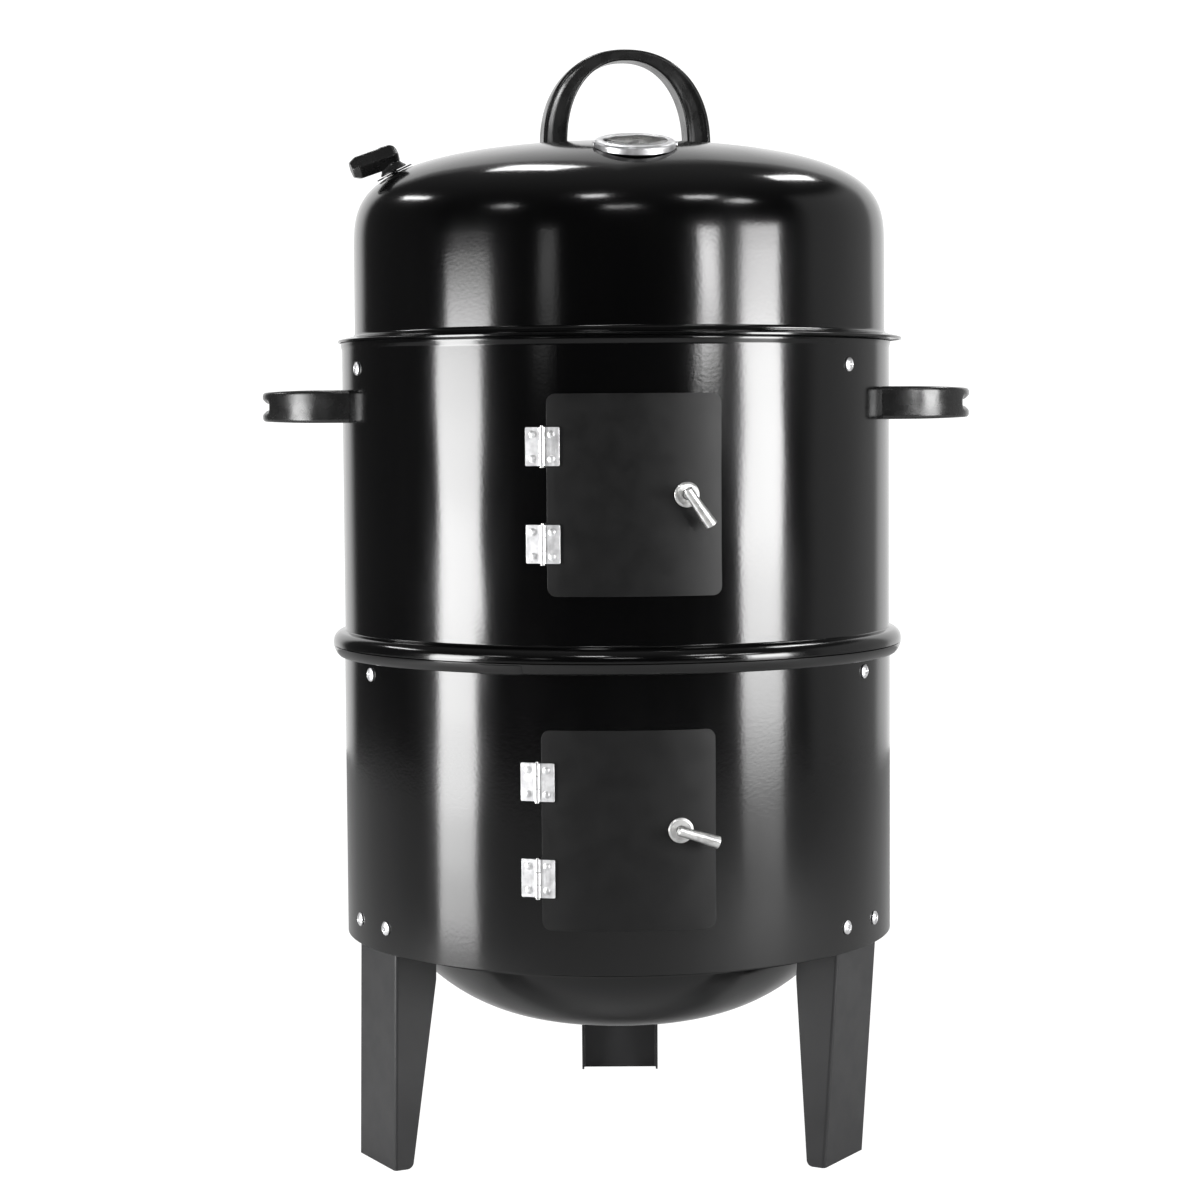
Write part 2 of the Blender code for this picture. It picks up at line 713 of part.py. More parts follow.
def make_hinge(level, which, azimuth, radius, z):
    door_face = DOOR_STANDOFF + SHEET
    door_grip = LEAF_SHEET + GAP + SHEET
    fixed_grip = door_grip + 2 * GAP
    name = level + "_hinge_" + which
    make_leaf(name + "_barrel_leaf", level, azimuth, radius, z, -1, 0.0, fixed_grip)
    make_leaf(name + "_door_leaf", level, azimuth, radius, z, 1, door_face, door_grip)
    half = HINGE_HEIGHT / 2
    profile = [
        (0.0, half + 0.0012),
        (0.0012, half + 0.0010),
        (0.0016, half + GAP),
        (PIN_R, half + GAP),
        (PIN_R, -half - 0.0006),
        (0.0, -half - 0.0006),
    ]
    upright = Matrix.Rotation(-math.pi / 2, 4, "X")
    solid_turning(name + "_pin", profile, "steel", hinge_frame(azimuth, radius, z) @ upright, 10)


def latch_frame(azimuth, radius, z):
    edge = math.degrees(math.asin(DOOR_HALF_WIDTH / (radius + DOOR_STANDOFF + SHEET)))
    turn = azimuth + edge - degrees_along(LATCH_FROM_EDGE, radius)
    return wall_frame(turn, radius + DOOR_STANDOFF + SHEET, z)


def make_latch(level, azimuth, radius, z, lever_turn):
    frame = latch_frame(azimuth, radius, z)
    seat = [(0.0070, 0.0018), (0.0085, 0.0010), (0.0085, GAP), (0.0034, GAP), (0.0034, 0.0018)]
    ring(level + "_latch_rosette", seat, "steel", frame, 20)
    spindle = bmesh.new()
    add_rod(spindle, 0.0028, -CAM_DEPTH - 0.0045, LATCH_RISE, 12)
    name = level + "_latch_lever"
    lever = place(name, mesh_from(name, spindle), frame, "steel")
    along = turned_about_z(lever_turn) @ shifted(z=LATCH_RISE) @ Matrix.Rotation(math.pi / 2, 4, "Y")
    bar = bmesh.new()
    add_rod(bar, 0.0034, -0.0040, LATCH_REACH - 0.0040, 14, along, end_radius=0.0042)
    union_with(lever, bar, name + "_bar")
    cam = bmesh.new()
    low = 0.0075
    direction = turned_about_z(lever_turn + CAM_FROM_LEVER)
    length = CAM_REACH + low
    block = direction @ shifted(x=(CAM_REACH - low) / 2, z=-CAM_DEPTH - 0.0014)
    add_block(cam, (length, 0.0130, PLATE), block, 0.0040, 2)
    name = level + "_latch_cam"
    tongue = place(name, mesh_from(name, cam), frame, "zinc")
    hole = bmesh.new()
    add_rod(hole, 0.0028 + GAP, -0.020, 0.020, 12, frame)
    cut_with(tongue, hole, name + "_hole")


# ---- lid ----
def make_lid():
    outer = [dome_point(math.pi / 2 * step / 10) for step in range(11)]
    inner = [dome_point(math.pi / 2 * step / 7, SHEET) for step in range(7, -1, -1)]
    brim = UPPER_TOP + GAP
    profile = outer + [
        (LID_R, brim + 0.0085),
        (LID_R + 0.0020, brim + 0.0040),
        (LID_R + 0.0060, brim + 0.0024),
        (BRIM_R - 0.0012, brim + 0.0020),
        (BRIM_R, brim + 0.0006),
        (BRIM_R, brim - 0.0012),
        (BRIM_R - SHEET, brim - 0.0012),
        (BRIM_R - SHEET, brim),
        (LID_R + 0.0062, brim + 0.0004),
        (LID_R + 0.0008, brim + 0.0026),
        (LID_R - SHEET, brim + 0.0080),
    ] + inner
    profile[0] = (0.0, LID_SPRING + LID_RISE)
    profile[-1] = (0.0, LID_SPRING + LID_RISE - SHEET)
    lid = solid_turning("lid_shell", profile, "enamel", shifted(x=LID_SHIFT))
    holes = bmesh.new()
    for frame in handle_foot_frames():
        add_rod(holes, 0.0028, -0.020, 0.010, 10, frame)
    add_rod(holes, 0.0036, -0.010, 0.010, 10, dome_frame(GAUGE_AZIMUTH, GAUGE_FROM_AXIS))
    vent = dome_frame(DAMPER_AZIMUTH, DAMPER_FROM_AXIS)
    add_rod(holes, 0.0026, -0.012, 0.012, 10, vent)
    for step in range(DAMPER_HOLES):
        spot = turned_about_z(360 * step / DAMPER_HOLES) @ shifted(x=DAMPER_HOLE_RING)
        add_rod(holes, DAMPER_HOLE_R, -0.012, 0.012, 10, vent @ spot)
    cut_with(lid, holes, "lid_holes")


def handle_outline(height):
    """The arch in x and y, its feet at y = 0: outer side one way, inner side back."""
    outer = []
    inner = []
    inner_half = HANDLE_HALF_WIDTH - HANDLE_FOOT
    inner_height = height - HANDLE_CROWN
    steps = 16
    for step in range(steps + 1):
        angle = math.pi * step / steps
        across = math.copysign(abs(math.cos(angle)) ** (2 / HANDLE_POWER), math.cos(angle))
        up = math.sin(angle) ** (2 / HANDLE_POWER)
        outer.append((HANDLE_HALF_WIDTH * across, height * up))
        inner.append((inner_half * across, inner_height * up))
    return outer + inner[::-1]


def make_handle(name, frame, height):
    """frame has x along the handle, y away from the wall and z across the band."""
    return extruded_outline(name, handle_outline(height), HANDLE_BAND, frame, "moulded", 0.0025)


def handle_foot_x():
    return HANDLE_HALF_WIDTH - HANDLE_FOOT / 2


def lid_handle_frame():
    """x along the handle, y up and z forward, just clear of the dome under the feet."""
    foot = HANDLE_HALF_WIDTH - HANDLE_FOOT - LID_HANDLE_SHIFT
    base = dome_frame(0.0, foot).translation.z + 0.0006
    turn = Matrix.Rotation(math.radians(LID_HANDLE_TURN), 4, "Z")
    seat = shifted(x=LID_SHIFT + LID_HANDLE_SHIFT, z=base)
    return seat @ turn @ Matrix.Rotation(math.pi / 2, 4, "X")


def handle_foot_frames():
    """Frames at the foot centres, z up."""
    frame = lid_handle_frame()
    up = Matrix.Rotation(-math.pi / 2, 4, "X")
    return [frame @ shifted(x=side * handle_foot_x()) @ up for side in (-1, 1)]


def make_lid_handle():
    handle = make_handle("lid_handle", lid_handle_frame(), LID_HANDLE_HEIGHT)
    holes = bmesh.new()
    for frame in handle_foot_frames():
        add_rod(holes, 0.0024 + GAP, -0.005, 0.0130, 10, frame)
    cut_with(handle, holes, "lid_handle_holes")
    for side, frame in zip(("left", "right"), handle_foot_frames()):
        seat = 0.0040
        profile = [
            (0.0, 0.0120),
            (0.0024, 0.0120),
            (0.0024, -seat),
            (0.0050, -seat),
            (0.0036, -seat - 0.0024),
            (0.0, -seat - 0.0028),
        ]
        solid_turning("lid_handle_screw_" + side, profile, "zinc", frame, BOLT_STEPS)


def make_side_handles():
    """Each handle lies flat, with its feet on the barrel's side."""
    foot = HANDLE_HALF_WIDTH
    reach = math.sqrt(UPPER_R**2 - (foot - HANDLE_FOOT) ** 2) + 0.0006
    for side, azimuth in (("left", -90.0), ("right", 90.0)):
        out = wall_frame(azimuth, reach, SIDE_HANDLE_Z) @ Matrix.Rotation(math.pi / 2, 4, "X")
        make_handle("side_handle_" + side, out, SIDE_HANDLE_HEIGHT)


def make_gauge():
    frame = dome_frame(GAUGE_AZIMUTH, GAUGE_FROM_AXIS)
    case = [
        (GAUGE_R - 0.0045, 0.0058),
        (GAUGE_R - 0.0018, 0.0056),
        (GAUGE_R, 0.0040),
        (GAUGE_R, 0.0014),
        (GAUGE_R - 0.0016, GAP),
        (0.0036, GAP),
        (0.0036, 0.0010),
        (0.0213, 0.0010),
        (0.0213, 0.0054),
    ]
    ring("gauge_case", case, "chrome", frame, 24)
    glass = [(0.0, 0.0050), (0.0190, 0.0047), (0.0210, 0.0044), (0.0210, 0.0038), (0.0, 0.0038)]
    solid_turning("gauge_glass", glass, "glass", frame, 24)
    under = -SHEET - 0.0008
    stem = [
        (0.0, 0.0019),
        (0.0050, 0.0019),
        (0.0050, 0.0010 + GAP),
        (0.0030, 0.0010 + GAP),
        (0.0030, under),
        (0.0070, under),
        (0.0070, under - 0.0050),
        (0.0022, under - 0.0052),
        (0.0018, -0.0600),
        (0.0, -0.0610),
    ]
    solid_turning("gauge_stem", stem, "steel", frame, 12)
    hub = bmesh.new()
    add_rod(hub, 0.0022, 0.0023, 0.0033, 12)
    needle = place("gauge_needle", mesh_from("gauge_needle", hub), frame, "needle_black")
    hand = bmesh.new()
    add_block(hand, (0.0200, 0.0014, 0.0005), turned_about_z(225.0) @ shifted(x=0.0070, z=0.0028))
    union_with(needle, hand, "gauge_needle_hand")


def make_damper():
    frame = dome_frame(DAMPER_AZIMUTH, DAMPER_FROM_AXIS, lift=0.0004)
    hole = 0.0026
    disc = [(DAMPER_R, 0.0010), (DAMPER_R, 0.0), (hole, 0.0), (hole, 0.0010)]
    plate = ring("damper_plate", disc, "enamel", frame, 24)
    vents = bmesh.new()
    for step in range(DAMPER_HOLES):
        turn = 360 * (step + 0.5) / DAMPER_HOLES
        spot = turned_about_z(turn) @ shifted(x=DAMPER_HOLE_RING)
        add_rod(vents, DAMPER_HOLE_R, -0.010, 0.010, 10, frame @ spot)
    cut_with(plate, vents, "damper_plate_holes")
    post = [
        (0.0, 0.0100),
        (0.0050, 0.0100),
        (0.0062, 0.0010 + GAP),
        (0.0022, 0.0010 + GAP),
        (0.0022, -0.0040),
        (0.0048, -0.0040),
        (0.0048, -0.0070),
        (0.0, -0.0070),
    ]
    knob = solid_turning("damper_knob", post, "moulded", frame, 12)
    grip = bmesh.new()
    downhill = shifted(z=0.0120) @ Matrix.Rotation(math.radians(DAMPER_GRIP_TILT), 4, "X")
    add_rod(grip, 0.0088, -0.0075, 0.0260, 6, downhill)
    union_with(knob, grip, "damper_knob_grip")


# ---- bodies that move ----
def pivot(name, matrix, nodes):
    """An empty on the joint's axis, with the moving nodes as its children."""
    empty = bpy.data.objects.new(name, None)
    empty.empty_display_size = 0.03
    PIVOTS.objects.link(empty)
    empty.matrix_world = matrix
    for node in nodes:
        obj = bpy.data.objects[node]
        obj.parent = empty
        obj.matrix_parent_inverse = matrix.inverted()
    return empty


def make_pivots():
    for level, azimuth, radius, z in DOORS:
        panel = [level + "_door", level + "_latch_rosette"]
        panel += [level + "_hinge_" + which + "_door_leaf" for which in hinge_heights()]
        pivot(level + "_door_pivot", hinge_frame(azimuth, radius, z), panel)
        latch = [level + "_latch_lever", level + "_latch_cam"]
        pivot(level + "_latch_pivot", latch_frame(azimuth, radius, z), latch)
    pivot("damper_pivot", dome_frame(DAMPER_AZIMUTH, DAMPER_FROM_AXIS), ["damper_plate", "damper_knob"])
    pivot("needle_pivot", dome_frame(GAUGE_AZIMUTH, GAUGE_FROM_AXIS), ["gauge_needle"])


DOORS = (
    ("lower", LOWER_DOOR_AZIMUTH, LOWER_R, LOWER_DOOR_Z),
    ("upper", UPPER_DOOR_AZIMUTH, UPPER_R, UPPER_DOOR_Z),
)
LEVER_TURNS = {"lower": LOWER_LEVER_TURN, "upper": UPPER_LEVER_TURN}


def main():
    make_lower_barrel()
    make_stacking_hoop()
    make_upper_barrel()
    for side in LEG_AZIMUTHS:
        make_leg(side)
    make_brackets()
    make_fire_bowl()
    make_water_pan()
    make_grate("lower_grate", LOWER_GRATE_Z)
    make_grate("upper_grate", UPPER_GRATE_Z)
    for level, azimuth, radius, z in DOORS:
        make_door(level, azimuth, radius, z)
        for which, height in hinge_heights().items():
            make_hinge(level, which, azimuth, radius, z + height)
        make_latch(level, azimuth, radius, z, LEVER_TURNS[level])
    make_lid()
    make_lid_handle()
    make_side_handles()
    make_gauge()
    make_damper()
    make_pivots()


main()
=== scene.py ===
"""Looks for a vertical water smoker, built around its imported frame.

Metres, +Z up, the origin on the floor under the barrels' axis, the doors facing -Y.
An azimuth is an angle round that axis, from the front (-Y) towards +X. A wall frame has
x to the right, y up along the wall and z outward, as seen from outside. A profile is a
list of (radius, z) points, and a fillet point adds a third number, its rounding radius.
"""

import json
from math import asin, atan2, ceil, copysign, cos, degrees, hypot, pi, radians, sin, sqrt, tan

import bmesh
import bpy
from mathutils import Matrix, Vector


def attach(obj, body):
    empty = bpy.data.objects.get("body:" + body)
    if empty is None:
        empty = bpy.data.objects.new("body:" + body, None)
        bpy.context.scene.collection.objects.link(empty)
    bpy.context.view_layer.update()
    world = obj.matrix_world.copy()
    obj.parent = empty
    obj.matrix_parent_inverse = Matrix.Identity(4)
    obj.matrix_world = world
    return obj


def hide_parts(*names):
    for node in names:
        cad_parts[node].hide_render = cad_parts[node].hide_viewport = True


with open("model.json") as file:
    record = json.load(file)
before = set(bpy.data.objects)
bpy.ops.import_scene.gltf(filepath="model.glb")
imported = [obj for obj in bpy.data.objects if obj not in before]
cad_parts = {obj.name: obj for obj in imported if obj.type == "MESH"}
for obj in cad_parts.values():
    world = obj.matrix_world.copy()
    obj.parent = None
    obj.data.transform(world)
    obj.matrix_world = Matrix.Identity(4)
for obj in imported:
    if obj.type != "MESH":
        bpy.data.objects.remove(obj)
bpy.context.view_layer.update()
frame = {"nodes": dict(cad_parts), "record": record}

# ---- dimensions, most of them the CAD's ----
GAP = 0.0003
SHEET = 0.0012
PLATE = 0.0015
LOWER_R = 0.1965
LOWER_BOTTOM = 0.1505
LOWER_TOP = 0.365
UPPER_R = 0.196
UPPER_BOTTOM = 0.3579
UPPER_TOP = 0.5735
BEAD_R = 0.2045
BEAD_DEPTH = 0.0075
BEAD_MIDDLE = UPPER_BOTTOM + 0.002
BEAD_ABOVE = 0.0079
BEAD_BELOW = 0.0109
HOOP_BOTTOM = 0.35
LID_R = 0.1897
LID_SPRING = 0.6286
LID_RISE = 0.0838
LID_WIDTH_POWER = 2.3
LID_HEIGHT_POWER = 4.0
BRIM_R = 0.2018
LID_SHIFT = 0.003
BOLT_HEAD_R = 0.0048
NUT_R = 0.0046
LEG_AZIMUTHS = {"left": -61.0, "right": 59.0, "rear": 180.0}
LEG_LEANS = {"left": -0.9, "right": 4.0, "rear": 0.0}
LEG_FACE = 0.1925
LEG_HALF_WIDTH = 0.03
LEG_TOP = 0.1459
LEG_SHOULDER = LOWER_BOTTOM - 0.0006
LEG_TAB_TOP = 0.188
LEG_BEND = 0.0025
LEG_FLANGE_END = LEG_TOP - 0.015
LEG_FLANGE_TOP = 0.031
LEG_FLANGE_FOOT = 0.0144
LEG_FOOT_CORNER = 0.005
LEG_BOLT_Z = 0.168
LEG_BOLT_SPREAD = 6.2
LOWER_BRACKETS = {"left": -60.0, "right": 60.0, "rear": 180.0}
UPPER_BRACKETS = {"left": -65.7, "right": 54.0, "rear": 174.3}
LOWER_BRACKET_Z = 0.3425
UPPER_BRACKET_Z = 0.5535
BRACKET_HALF_WIDTH = 0.011
CAD_BARREL_STEPS = 48
DOOR_HALF_WIDTH = 0.0575
DOOR_HEIGHT = 0.133
DOOR_CORNER = 0.006
DOOR_OVERLAP = 0.008
DOOR_STANDOFF = 0.0005
DOOR_FACE = DOOR_STANDOFF + SHEET
DOORS = {
    "lower": (2.1, LOWER_R, 0.247, -18.0),
    "upper": (3.6, UPPER_R, 0.468, -55.0),
}
HINGE_SPREAD = 0.032
HINGE_HEIGHT = 0.0255
HINGE_EDGE = 0.0028
LEAF_WIDTH = 0.0109
LEAF_SHEET = 0.001
KNUCKLE_R = 0.0022
KNUCKLE_BORE_R = 0.0013
KNUCKLE_RISE = 0.0026
PIN_R = 0.001
RIVET_RISE = 0.008
LATCH_FROM_EDGE = 0.024
LATCH_REACH = 0.0285
LATCH_RISE = 0.0105
SPINDLE_HOLE_R = 0.0034
HANDLE_HALF_WIDTH = 0.0605
LID_HANDLE_HEIGHT = 0.0675
SIDE_HANDLE_HEIGHT = 0.062
HANDLE_BAND = 0.023
HANDLE_CROWN = 0.008
HANDLE_FOOT = 0.017
HANDLE_POWER = 2.2
LID_HANDLE_TURN = 10.0
LID_HANDLE_SHIFT = 0.005
SIDE_HANDLE_Z = 0.5275
GAUGE_AZIMUTH = 4.6
GAUGE_FROM_AXIS = 0.139
GAUGE_R = 0.027
GLASS_R = 0.0214
DIAL_TOP = 0.0015
TICK_END_R = 0.0196
NUMBER_R = 0.013
NUMBERS = 7
TICKS_EACH = 5
SCALE_START = 225.0
SCALE_TURN = 270.0
DAMPER_AZIMUTH = -76.0
DAMPER_FROM_AXIS = 0.162
DAMPER_GRIP_TILT = 83.0
DAMPER_R = 0.0135
DAMPER_HOLE_R = 0.0028
DAMPER_HOLE_RING = 0.0084
VENT_HOLES = 3
GRATE_R = 0.186
GRATE_WIRE_R = 0.0022
GRATE_RING_R = 0.003
GRATE_PITCH = 0.012
STRINGER_PLACE = 0.22
GRATES = {"lower_grate": 0.359, "upper_grate": 0.569}
PAN_RIM_R = 0.175
PAN_RIM_Z = 0.315
BOWL_RIM_R = 0.178
BOWL_RIM_Z = 0.1474
BOWL_BEAD = 0.0011
SEAM_HALF_WIDTH = 0.007
LAP_START = -27.0
LAP_END = -18.0

# ---- fineness ----
ROUND = 256
SMALL_ROUND = 48
DOME_STEPS = 72
HANDLE_STEPS = 96
LAP_STEPS = 12
CORNER_STEPS = 8
DOOR_STEPS = 48
DOOR_ROWS = 6
ARC_STEP = radians(15)
SHARP = radians(32)

# ---- stage: angles in degrees, radiances relative to paper white ----
CAMERA_Y = -2.05
CAMERA_Z = 0.521
CAMERA_PAN = 0.343
CAMERA_TILT = -3.75
CAMERA_ROLL = -0.4
CAMERA_LENS = 85.14
FLOOR_R = 2.4
PAPER_WHITE = 1.15
# The white sweep's top is highest straight behind, and falls by the slope to each side.
SWEEP_TOP = 71.0
SWEEP_SLOPE = 1.37
# Name, azimuth on the wall, distance, width, and parts as (lower edge, radiance) up to the top.
SOFTBOXES = (
    (
        "left_low_softbox", -33.35, 0.85, 0.308,
        [(0.005, 9.5), (0.08, 12.5), (0.14, 17.5), (0.22, 19.5), (0.31, 0.0)],
    ),
    (
        "left_softbox", -32.2, 0.85, 0.36,
        [(0.31, 22.0), (0.43, 19.5), (0.52, 17.5), (0.59, 13.5), (0.635, 6.5), (0.67, 0.0)],
    ),
    (
        "right_softbox", 29.7, 1.3, 0.475,
        [
            (0.005, 2.2), (0.1, 7.2), (0.17, 14.5), (0.25, 19.0),
            (0.36, 23.5), (0.62, 16.5), (0.71, 12.0), (0.8, 0.0),
        ],
    ),
    ("right_slim_softbox", 18.2, 1.5, 0.24, [(0.56, 12.0), (0.62, 22.0), (0.78, 0.0)]),
    ("left_slim_softbox", -14.3, 1.5, 0.18, [(0.57, 0.4), (0.62, 1.6), (0.78, 0.0)]),
)
CEILING_Z = 2.6
# x, y, width, depth, turn, radiance
CEILING_LAMPS = (
    (-0.57, 0.64, 0.34, 0.76, 32.0, 19.0),
    (1.58, 1.00, 0.34, 1.08, -11.5, 19.0),
    (-3.48, 1.14, 0.5, 1.3, 0.0, 18.0),
    (-0.57, -2.92, 0.62, 0.55, 0.0, 17.0),
    (2.00, -2.65, 0.8, 0.55, 33.0, 15.0),
    (-3.96, -3.33, 0.8, 0.8, 0.0, 9.0),
    (3.47, -2.53, 0.8, 0.8, 0.0, 12.0),
    (0.14, -5.86, 1.3, 0.8, 0.0, 8.0),
)

IDENTITY = Matrix()


# ---- placing ----
def wall_frame(azimuth, radius, z, rise=0.0):
    """The frame on a wall facing outward, its normal raised by rise radians."""
    turn = radians(azimuth)
    level = Vector((sin(turn), -cos(turn), 0.0))
    right = Vector((cos(turn), sin(turn), 0.0))
    up = Vector((0.0, 0.0, 1.0))
    outward = level * cos(rise) + up * sin(rise)
    along = up * cos(rise) - level * sin(rise)
    matrix = Matrix((right, along, outward)).transposed().to_4x4()
    matrix.translation = level * radius + up * z
    return matrix


def shifted(x=0.0, y=0.0, z=0.0):
    return Matrix.Translation((x, y, z))


def turned(angle, axis="Z"):
    return Matrix.Rotation(radians(angle), 4, axis)


def degrees_along(length, radius):
    return degrees(length / radius)


def shares(steps):
    return [step / steps for step in range(steps + 1)]


def circle(radius, steps, z=0.0):
    turns = [2 * pi * step / steps for step in range(steps)]
    return [(radius * cos(turn), radius * sin(turn), z) for turn in turns]


def smooth_step(low, high, value):
    share = min(1.0, max(0.0, (value - low) / (high - low)))
    return share * share * (3 - 2 * share)


# ---- lines and profiles ----
def mm(*points):
    """Points given in millimetres, in metres."""
    return [tuple(value / 1000 for value in point) for point in points]


def fillet(points, closed=False):
    """A polyline through (x, y) points, with a corner rounded where the point gives a radius."""
    count = len(points)
    line = []
    for index, point in enumerate(points):
        here = Vector(point[:2])
        radius = point[2] if len(point) > 2 else 0.0
        inside = closed or 0 < index < count - 1
        if not (radius and inside):
            line.append(here)
            continue
        before = Vector(points[index - 1][:2]) - here
        after = Vector(points[(index + 1) % count][:2]) - here
        half = before.angle(after) / 2
        reach = min(radius / tan(half), before.length * 0.49, after.length * 0.49)
        radius = reach * tan(half)
        bisector = (before.normalized() + after.normalized()).normalized()
        centre = here + bisector * (radius / sin(half))
        start = here + before.normalized() * reach - centre
        end = here + after.normalized() * reach - centre
        sweep = start.angle_signed(end)
        steps = max(2, ceil(abs(sweep) / ARC_STEP))
        for step in range(steps + 1):
            line.append(centre + Matrix.Rotation(-sweep * step / steps, 2) @ start)
    return line


def arc(centre, radius, start, end, steps):
    """Points along a circle from one angle to another, in degrees."""
    points = []
    for share in shares(steps):
        angle = radians(start + (end - start) * share)
        points.append(Vector((centre[0] + radius * cos(angle), centre[1] + radius * sin(angle))))
    return points


def offset(line, distance):
    """The open polyline moved to its left by a distance, with mitred corners."""
    moved = []
    for index, point in enumerate(line):
        before = point - line[index - 1] if index else None
        after = line[index + 1] - point if index + 1 < len(line) else None
        first = (before or after).normalized()
        second = (after or before).normalized()
        along = (first + second).normalized()
        left = Vector((-along.y, along.x))
        stretch = max(0.3, along.dot(first))
        moved.append(point + left * (distance / stretch))
    return moved


def sheet_profile(line, thickness):
    """The closed outline of a sheet that the line is the outer face of, thickened to its left."""
    ease = abs(thickness) * 0.25
    inner = offset(line, thickness)
    outline = []
    for run, other in ((line, inner), (inner[::-1], line[::-1])):
        start = (run[1] - run[0]).normalized() * ease
        tip = (run[-1] - run[-2]).normalized() * ease
        back = (other[0] - run[0]).normalized() * ease
        across = (other[-1] - run[-1]).normalized() * ease
        outline += [run[0] + back, run[0] + start] + run[1:-1] + [run[-1] - tip, run[-1] + across]
    return outline


# ---- mesh building ----
def add_lathe(bm, profile, steps, matrix=IDENTITY, closed=True):
    """The profile turned about the matrix's z axis."""
    rows = []
    for step in range(steps):
        angle = 2 * pi * step / steps
        cosine, sine = cos(angle), sin(angle)
        rows.append([bm.verts.new(matrix @ Vector((p[0] * cosine, p[0] * sine, p[1]))) for p in profile])
    last = len(profile) if closed else len(profile) - 1
    for row, following in zip(rows, rows[1:] + rows[:1]):
        for index in range(last):
            after = (index + 1) % len(profile)
            bm.faces.new((row[index], following[index], following[after], row[after]))
    bmesh.ops.remove_doubles(bm, verts=[vert for row in rows for vert in row], dist=1e-7)


def add_loft(bm, sections, matrix=IDENTITY, looped=False):
    """Closed sections of equal length, joined one to the next and capped, or joined in a loop."""
    rows = [[bm.verts.new(matrix @ Vector(point)) for point in section] for section in sections]
    following = rows[1:] + (rows[:1] if looped else [])
    for row, after in zip(rows, following):
        for index in range(len(row)):
            beside = (index + 1) % len(row)
            bm.faces.new((row[index], row[beside], after[beside], after[index]))
    if not looped:
        bm.faces.new(rows[0][::-1])
        bm.faces.new(rows[-1])


def add_tube(bm, points, radius, sides=12, looped=False, matrix=IDENTITY):
    """A round wire through the points, with eased ends."""
    points = [Vector(point) for point in points]
    count = len(points)
    sections = []
    side = None
    for index, point in enumerate(points):
        before = points[index - 1] if index or looped else point
        after = points[(index + 1) % count] if index + 1 < count or looped else point
        along = (after - before).normalized()
        if side is None:
            side = along.orthogonal().normalized()
        side = (side - along * side.dot(along)).normalized()
        up = along.cross(side)
        ring = []
        for step in range(sides):
            angle = 2 * pi * step / sides
            ring.append(side * cos(angle) + up * sin(angle))
        widths = [(0, 1)]
        if not looped and index == 0:
            widths = [(-0.45, 0.55), (-0.2, 0.9), (0, 1)]
        elif not looped and index == count - 1:
            widths = [(0, 1), (0.2, 0.9), (0.45, 0.55)]
        for shift, width in widths:
            sections.append([point + along * radius * shift + spoke * radius * width for spoke in ring])
    add_loft(bm, sections, matrix, looped)


def add_prism(bm, outline, low, high, matrix=IDENTITY):
    """A flat outline in x and y, from z low to high."""
    add_loft(bm, [[(point[0], point[1], z) for point in outline] for z in (low, high)], matrix)


def add_block(bm, size, matrix=IDENTITY, corner=0.0):
    """A box centred on the matrix, with the four edges along z rounded."""
    x, y, z = (value / 2 for value in size)
    corners = [(-x, -y, corner), (x, -y, corner), (x, y, corner), (-x, y, corner)]
    add_prism(bm, fillet(corners, closed=True), -z, z, matrix)


def add_rod(bm, low, high, radius, sides, matrix=IDENTITY):
    add_tube(bm, [(0, 0, low), (0, 0, high)], radius, sides, matrix=matrix)


def lathe(profile, steps=ROUND, closed=True):
    bm = bmesh.new()
    add_lathe(bm, profile, steps, closed=closed)
    return bm


def loft(sections):
    bm = bmesh.new()
    add_loft(bm, sections)
    return bm


def mesh_of(name, bm):
    bmesh.ops.recalc_face_normals(bm, faces=bm.faces)
    if bm.calc_volume(signed=True) < 0:
        bmesh.ops.reverse_faces(bm, faces=bm.faces)
    mesh = bpy.data.meshes.new(name)
    bm.to_mesh(mesh)
    bm.free()
    return mesh


def cut(obj, bm):
    """Takes the solids in bm, given in world coordinates, out of the object's mesh."""
    cutter = new_object(obj.name + "_cutter", mesh_of("cutter", bm))
    step = obj.modifiers.new("cut", "BOOLEAN")
    step.operation = "DIFFERENCE"
    step.solver = "EXACT"
    step.object = cutter
    graph = bpy.context.evaluated_depsgraph_get()
    whole = obj.data
    obj.data = bpy.data.meshes.new_from_object(obj.evaluated_get(graph))
    obj.modifiers.clear()
    bpy.data.objects.remove(cutter)
    bpy.data.meshes.remove(whole)
    shade(obj)


def shade(obj):
    """Smooth shading that keeps flat and straight faces true beside their fillets."""
    obj.data.shade_smooth()
    obj.data.set_sharp_from_angle(angle=SHARP)
    step = obj.modifiers.new("weighted", "WEIGHTED_NORMAL")
    step.keep_sharp = True
    step.weight = 100


def ease_edges(obj, width, segments=2, limit=50):
    """Rounds the edges sharper than the limit in degrees, ahead of the object's other modifiers."""
    step = obj.modifiers.new("eased", "BEVEL")
    step.width = width
    step.segments = segments
    step.limit_method = "ANGLE"
    step.angle_limit = radians(limit)
    obj.modifiers.move(len(obj.modifiers) - 1, 0)


def new_object(name, data):
    obj = bpy.data.objects.new(name, data)
    bpy.context.scene.collection.objects.link(obj)
    return obj


def piece(name, bm, body, slot, matrix=IDENTITY, replaced=()):
    """A finished piece, from a bmesh or a mesh, that rides on a body and stands for CAD nodes."""
    mesh = bm if isinstance(bm, bpy.types.Mesh) else mesh_of(name, bm)
    obj = new_object(name, mesh)
    obj.matrix_world = matrix
    finish(obj, slot)
    shade(obj)
    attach(obj, body)
    if replaced:
        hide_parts(*replaced)
    return obj


def stand_in(node, bm, body, slot, matrix=IDENTITY):
    """The finished piece for one CAD node."""
    return piece(node + "_finished", bm, body, slot, matrix, [node])


def finish(obj, slot):
    obj.data.materials.clear()
    obj.data.materials.append(FINISHES[slot])


